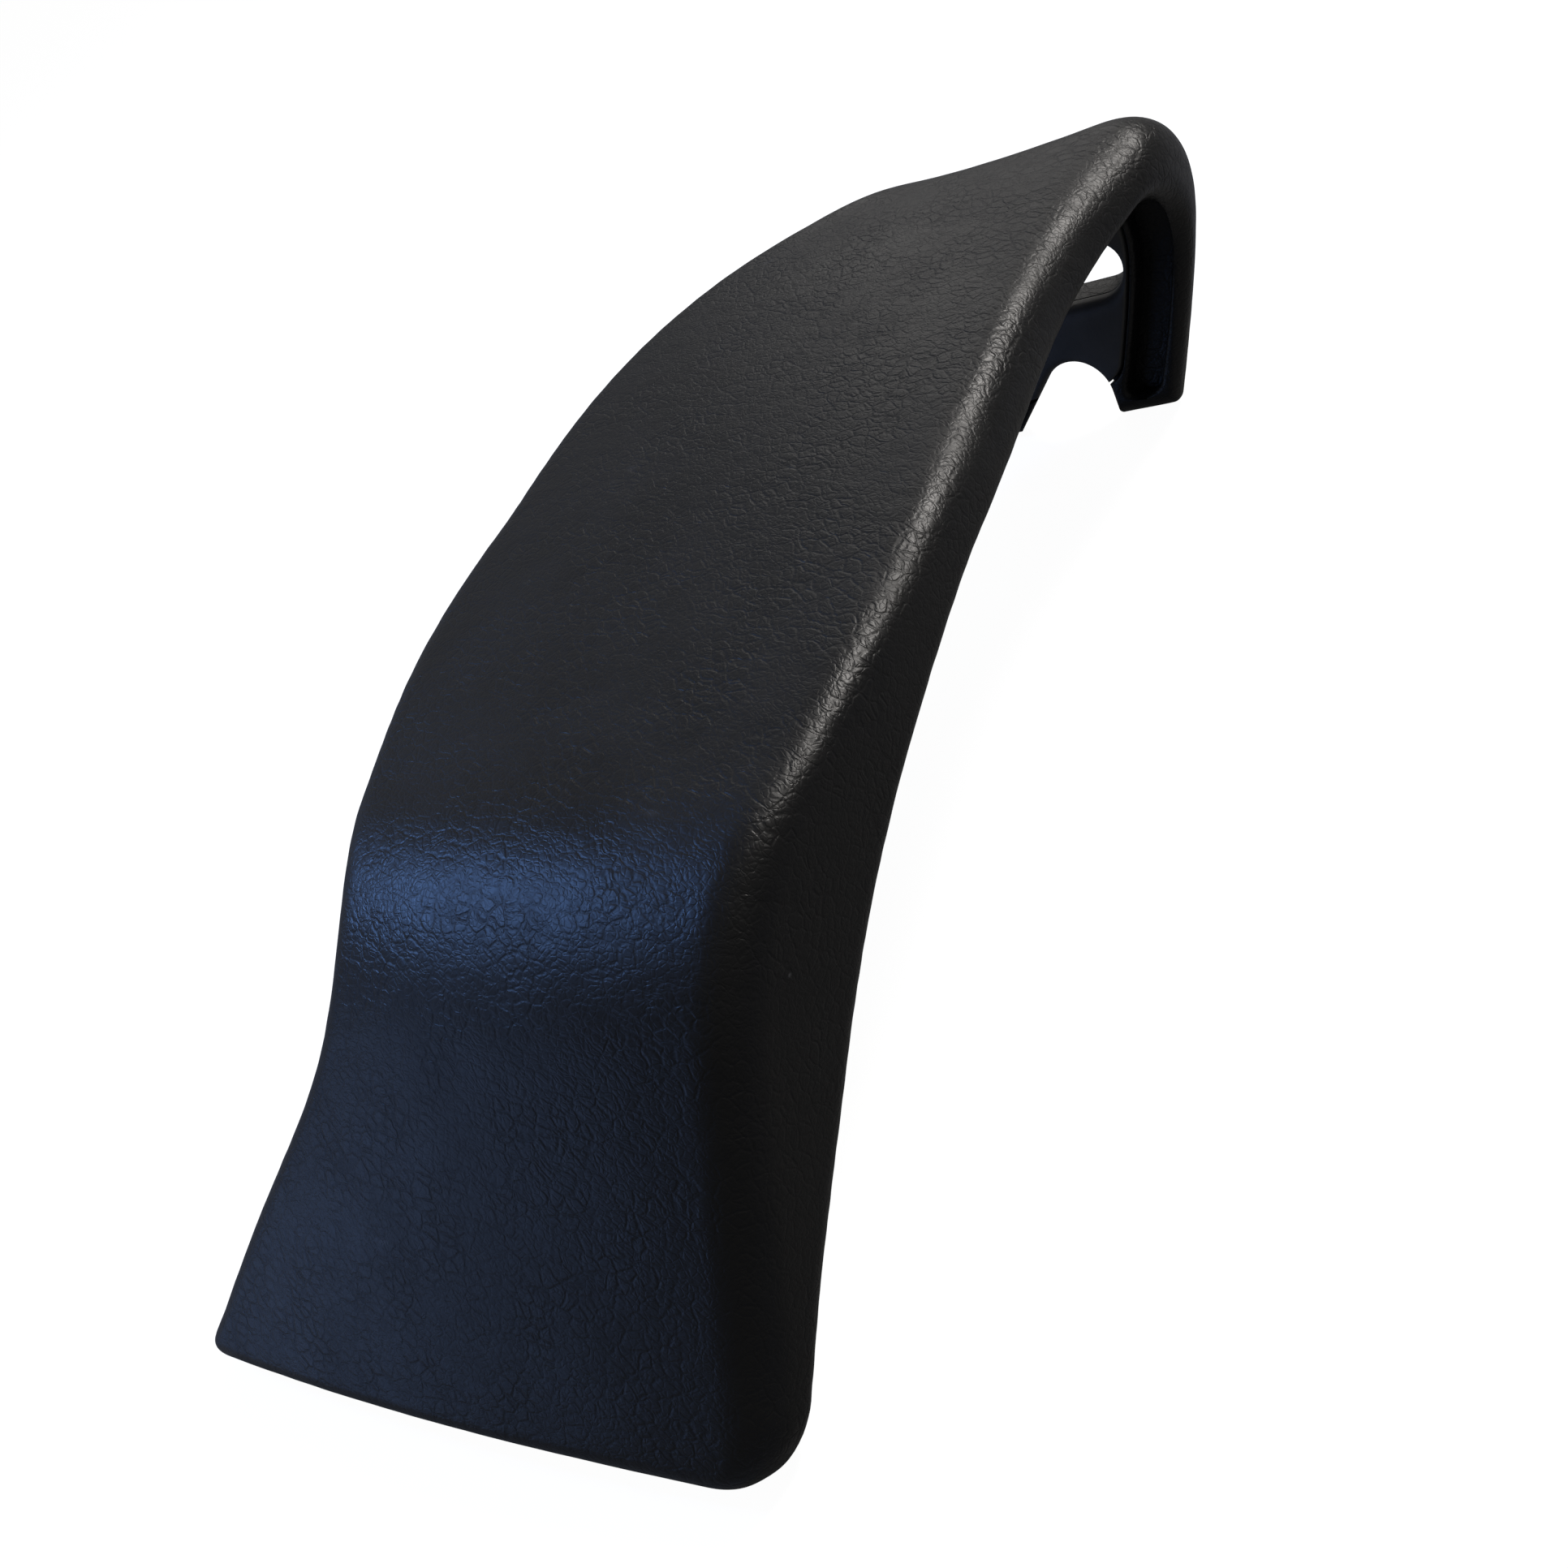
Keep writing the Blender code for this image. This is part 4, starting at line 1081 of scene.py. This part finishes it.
def zinc_material():
    """Zinc plate: soft grain along the strip, cloudy passivated patches, and dull where it aged."""
    made, tree, finish, place, used = new_finish("zinc_plate", 0.012, 0.5)
    grain = noise(tree, vector_maths(tree, "MULTIPLY", place, ZINC_GRAIN), 1.0)
    colour = blend(tree, used["Rubbed"], ZINC, ZINC_DULL)
    colour = blend(tree, used["Specks"], colour, DUST_GREY)
    tree.links.new(colour, finish["Base Color"])
    finish["Metallic"].default_value = 1.0
    rough = maths(tree, "ADD", maths(tree, "MULTIPLY", grain, 0.16), ZINC_ROUGHNESS)
    rough = maths(tree, "ADD", rough, maths(tree, "MULTIPLY", used["Rubbed"], 0.14))
    tree.links.new(rough, finish["Roughness"])
    press_in(tree, finish, grain, 0.4, ZINC_GRAIN_DEPTH)
    return made


zinc = zinc_material()
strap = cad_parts["spine_strap"]
cover(strap, zinc)

head_base = strap_top + GAP
head_top = head_base + RIVET_HEAD
dome = np.linspace(0, math.pi / 2, 9)
tail_dome = list(zip(
    RIVET_HEAD_RADIUS * np.sin(dome) + AXIS_RADIUS, -GAP - RIVET_DOME * np.cos(dome)))
rivet_outline = tail_dome + [
    (RIVET_RADIUS + RIVET_FILLET, -GAP), (RIVET_RADIUS, -GAP + RIVET_FILLET),
    (RIVET_RADIUS, head_base - RIVET_FILLET), (RIVET_RADIUS + RIVET_FILLET, head_base),
    (RIVET_HEAD_RADIUS, head_base), (RIVET_HEAD_RADIUS, head_top - RIVET_CHAMFER),
    (RIVET_HEAD_RADIUS - RIVET_CHAMFER, head_top), (AXIS_RADIUS, head_top),
]
for number, box in enumerate(rivet_boxes, 1):
    foot, up = rivet_foot(box)
    rivet = turned_body(f"rivet_{number}", rivet_outline, foot, up)
    shade(rivet, 40)
    cover(rivet, zinc)
    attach(rivet, "root")
    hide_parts(f"strap_rivet_{number}")

# ---- threaded inserts -----------------------------------------------------------------------------
# Turned brass inserts with an M6 thread. The knurl outside and the groove round its middle hold
# each one in its boss, where it is pressed in hot.
BORE_RADIUS = 0.0025
THREAD_DEPTH = 0.00032
THREAD_PITCH = 0.0010
KNURL_TEETH = 32
KNURL_DEPTH = 0.00022
GROOVE_DEPTH = 0.0005
GROOVE_HALF = 0.0007
INSERT_CHAMFER = 0.0003
THREAD_START = 0.0004
COUNTERSINK = 0.0006
BRASS = (0.72, 0.53, 0.24)
BRASS_TARNISH = (0.42, 0.28, 0.12)
BRASS_ROUGHNESS = 0.22
BRASS_RINGS = (300.0, 300.0, 16000.0)
BRASS_RING_DEPTH = 0.00001


def insert_points(length):
    """Closed grid of an insert. Outside, the radius falls by a cosine of the angle that makes the
    knurl's teeth and drops in a V at the middle groove. Inside, it rises and falls by a cosine of
    height over pitch less angle, which is the thread. Chamfers join the two at both ends."""
    angle = np.linspace(0, 2 * math.pi, KNURL_TEETH * 4, endpoint=False)
    z_out = np.linspace(INSERT_CHAMFER, length - INSERT_CHAMFER, 29)[:, None]
    from_groove = np.abs(z_out - length / 2)
    groove = GROOVE_DEPTH * np.clip(1 - from_groove / GROOVE_HALF, 0, 1)
    teeth = 0.5 - 0.5 * np.cos(KNURL_TEETH * angle)
    knurl = KNURL_DEPTH * teeth * np.clip(from_groove / GROOVE_HALF - 1, 0, 1)
    outer = INSERT_RADIUS - groove - knurl
    z_in = np.linspace(length - THREAD_START, THREAD_START, 57)[:, None]
    turn = 2 * math.pi * z_in / THREAD_PITCH - angle
    inner = BORE_RADIUS + THREAD_DEPTH * (0.5 - 0.5 * np.cos(turn))
    flat = 0 * angle
    rim = flat + np.array([
        (INSERT_RADIUS - INSERT_CHAMFER, length), (BORE_RADIUS + COUNTERSINK, length),
        (BORE_RADIUS + COUNTERSINK, 0.0), (INSERT_RADIUS - INSERT_CHAMFER, 0.0),
    ])[..., None]
    radius = np.vstack([outer, rim[:2, 0], inner, rim[2:, 0]])
    height = np.vstack([z_out + flat, rim[:2, 1], z_in + flat, rim[2:, 1]])
    return np.dstack([radius * np.cos(angle), radius * np.sin(angle), height])


def brass_material():
    """Bright turned brass: fine rings from the tool, browner where it has tarnished."""
    made, tree, finish, place, used = new_finish("turned_brass", 0.004, 0.4)
    tarnish = maths(tree, "MULTIPLY", used["Rubbed"], 0.6)
    tree.links.new(blend(tree, tarnish, BRASS, BRASS_TARNISH), finish["Base Color"])
    finish["Metallic"].default_value = 1.0
    rings = noise(tree, vector_maths(tree, "MULTIPLY", place, BRASS_RINGS), 1.0, detail=1.0)
    rough = maths(tree, "ADD", maths(tree, "MULTIPLY", rings, 0.14), BRASS_ROUGHNESS)
    rough = maths(tree, "ADD", rough, maths(tree, "MULTIPLY", used["Rubbed"], 0.15))
    tree.links.new(rough, finish["Roughness"])
    press_in(tree, finish, rings, 0.3, BRASS_RING_DEPTH)
    return made


brass = brass_material()
for (row, side), box in insert_boxes.items():
    length = box[1][2] - box[0][2]
    insert = grid_object(
        f"threaded_insert_{row}_{side}",
        insert_points(length) + seat_under(box) + [0, 0, INSERT_RECESS], capped=False)
    shade(insert, 30)
    cover(insert, brass)
    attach(insert, "root")
    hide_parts(f"insert_{row}_{side}")
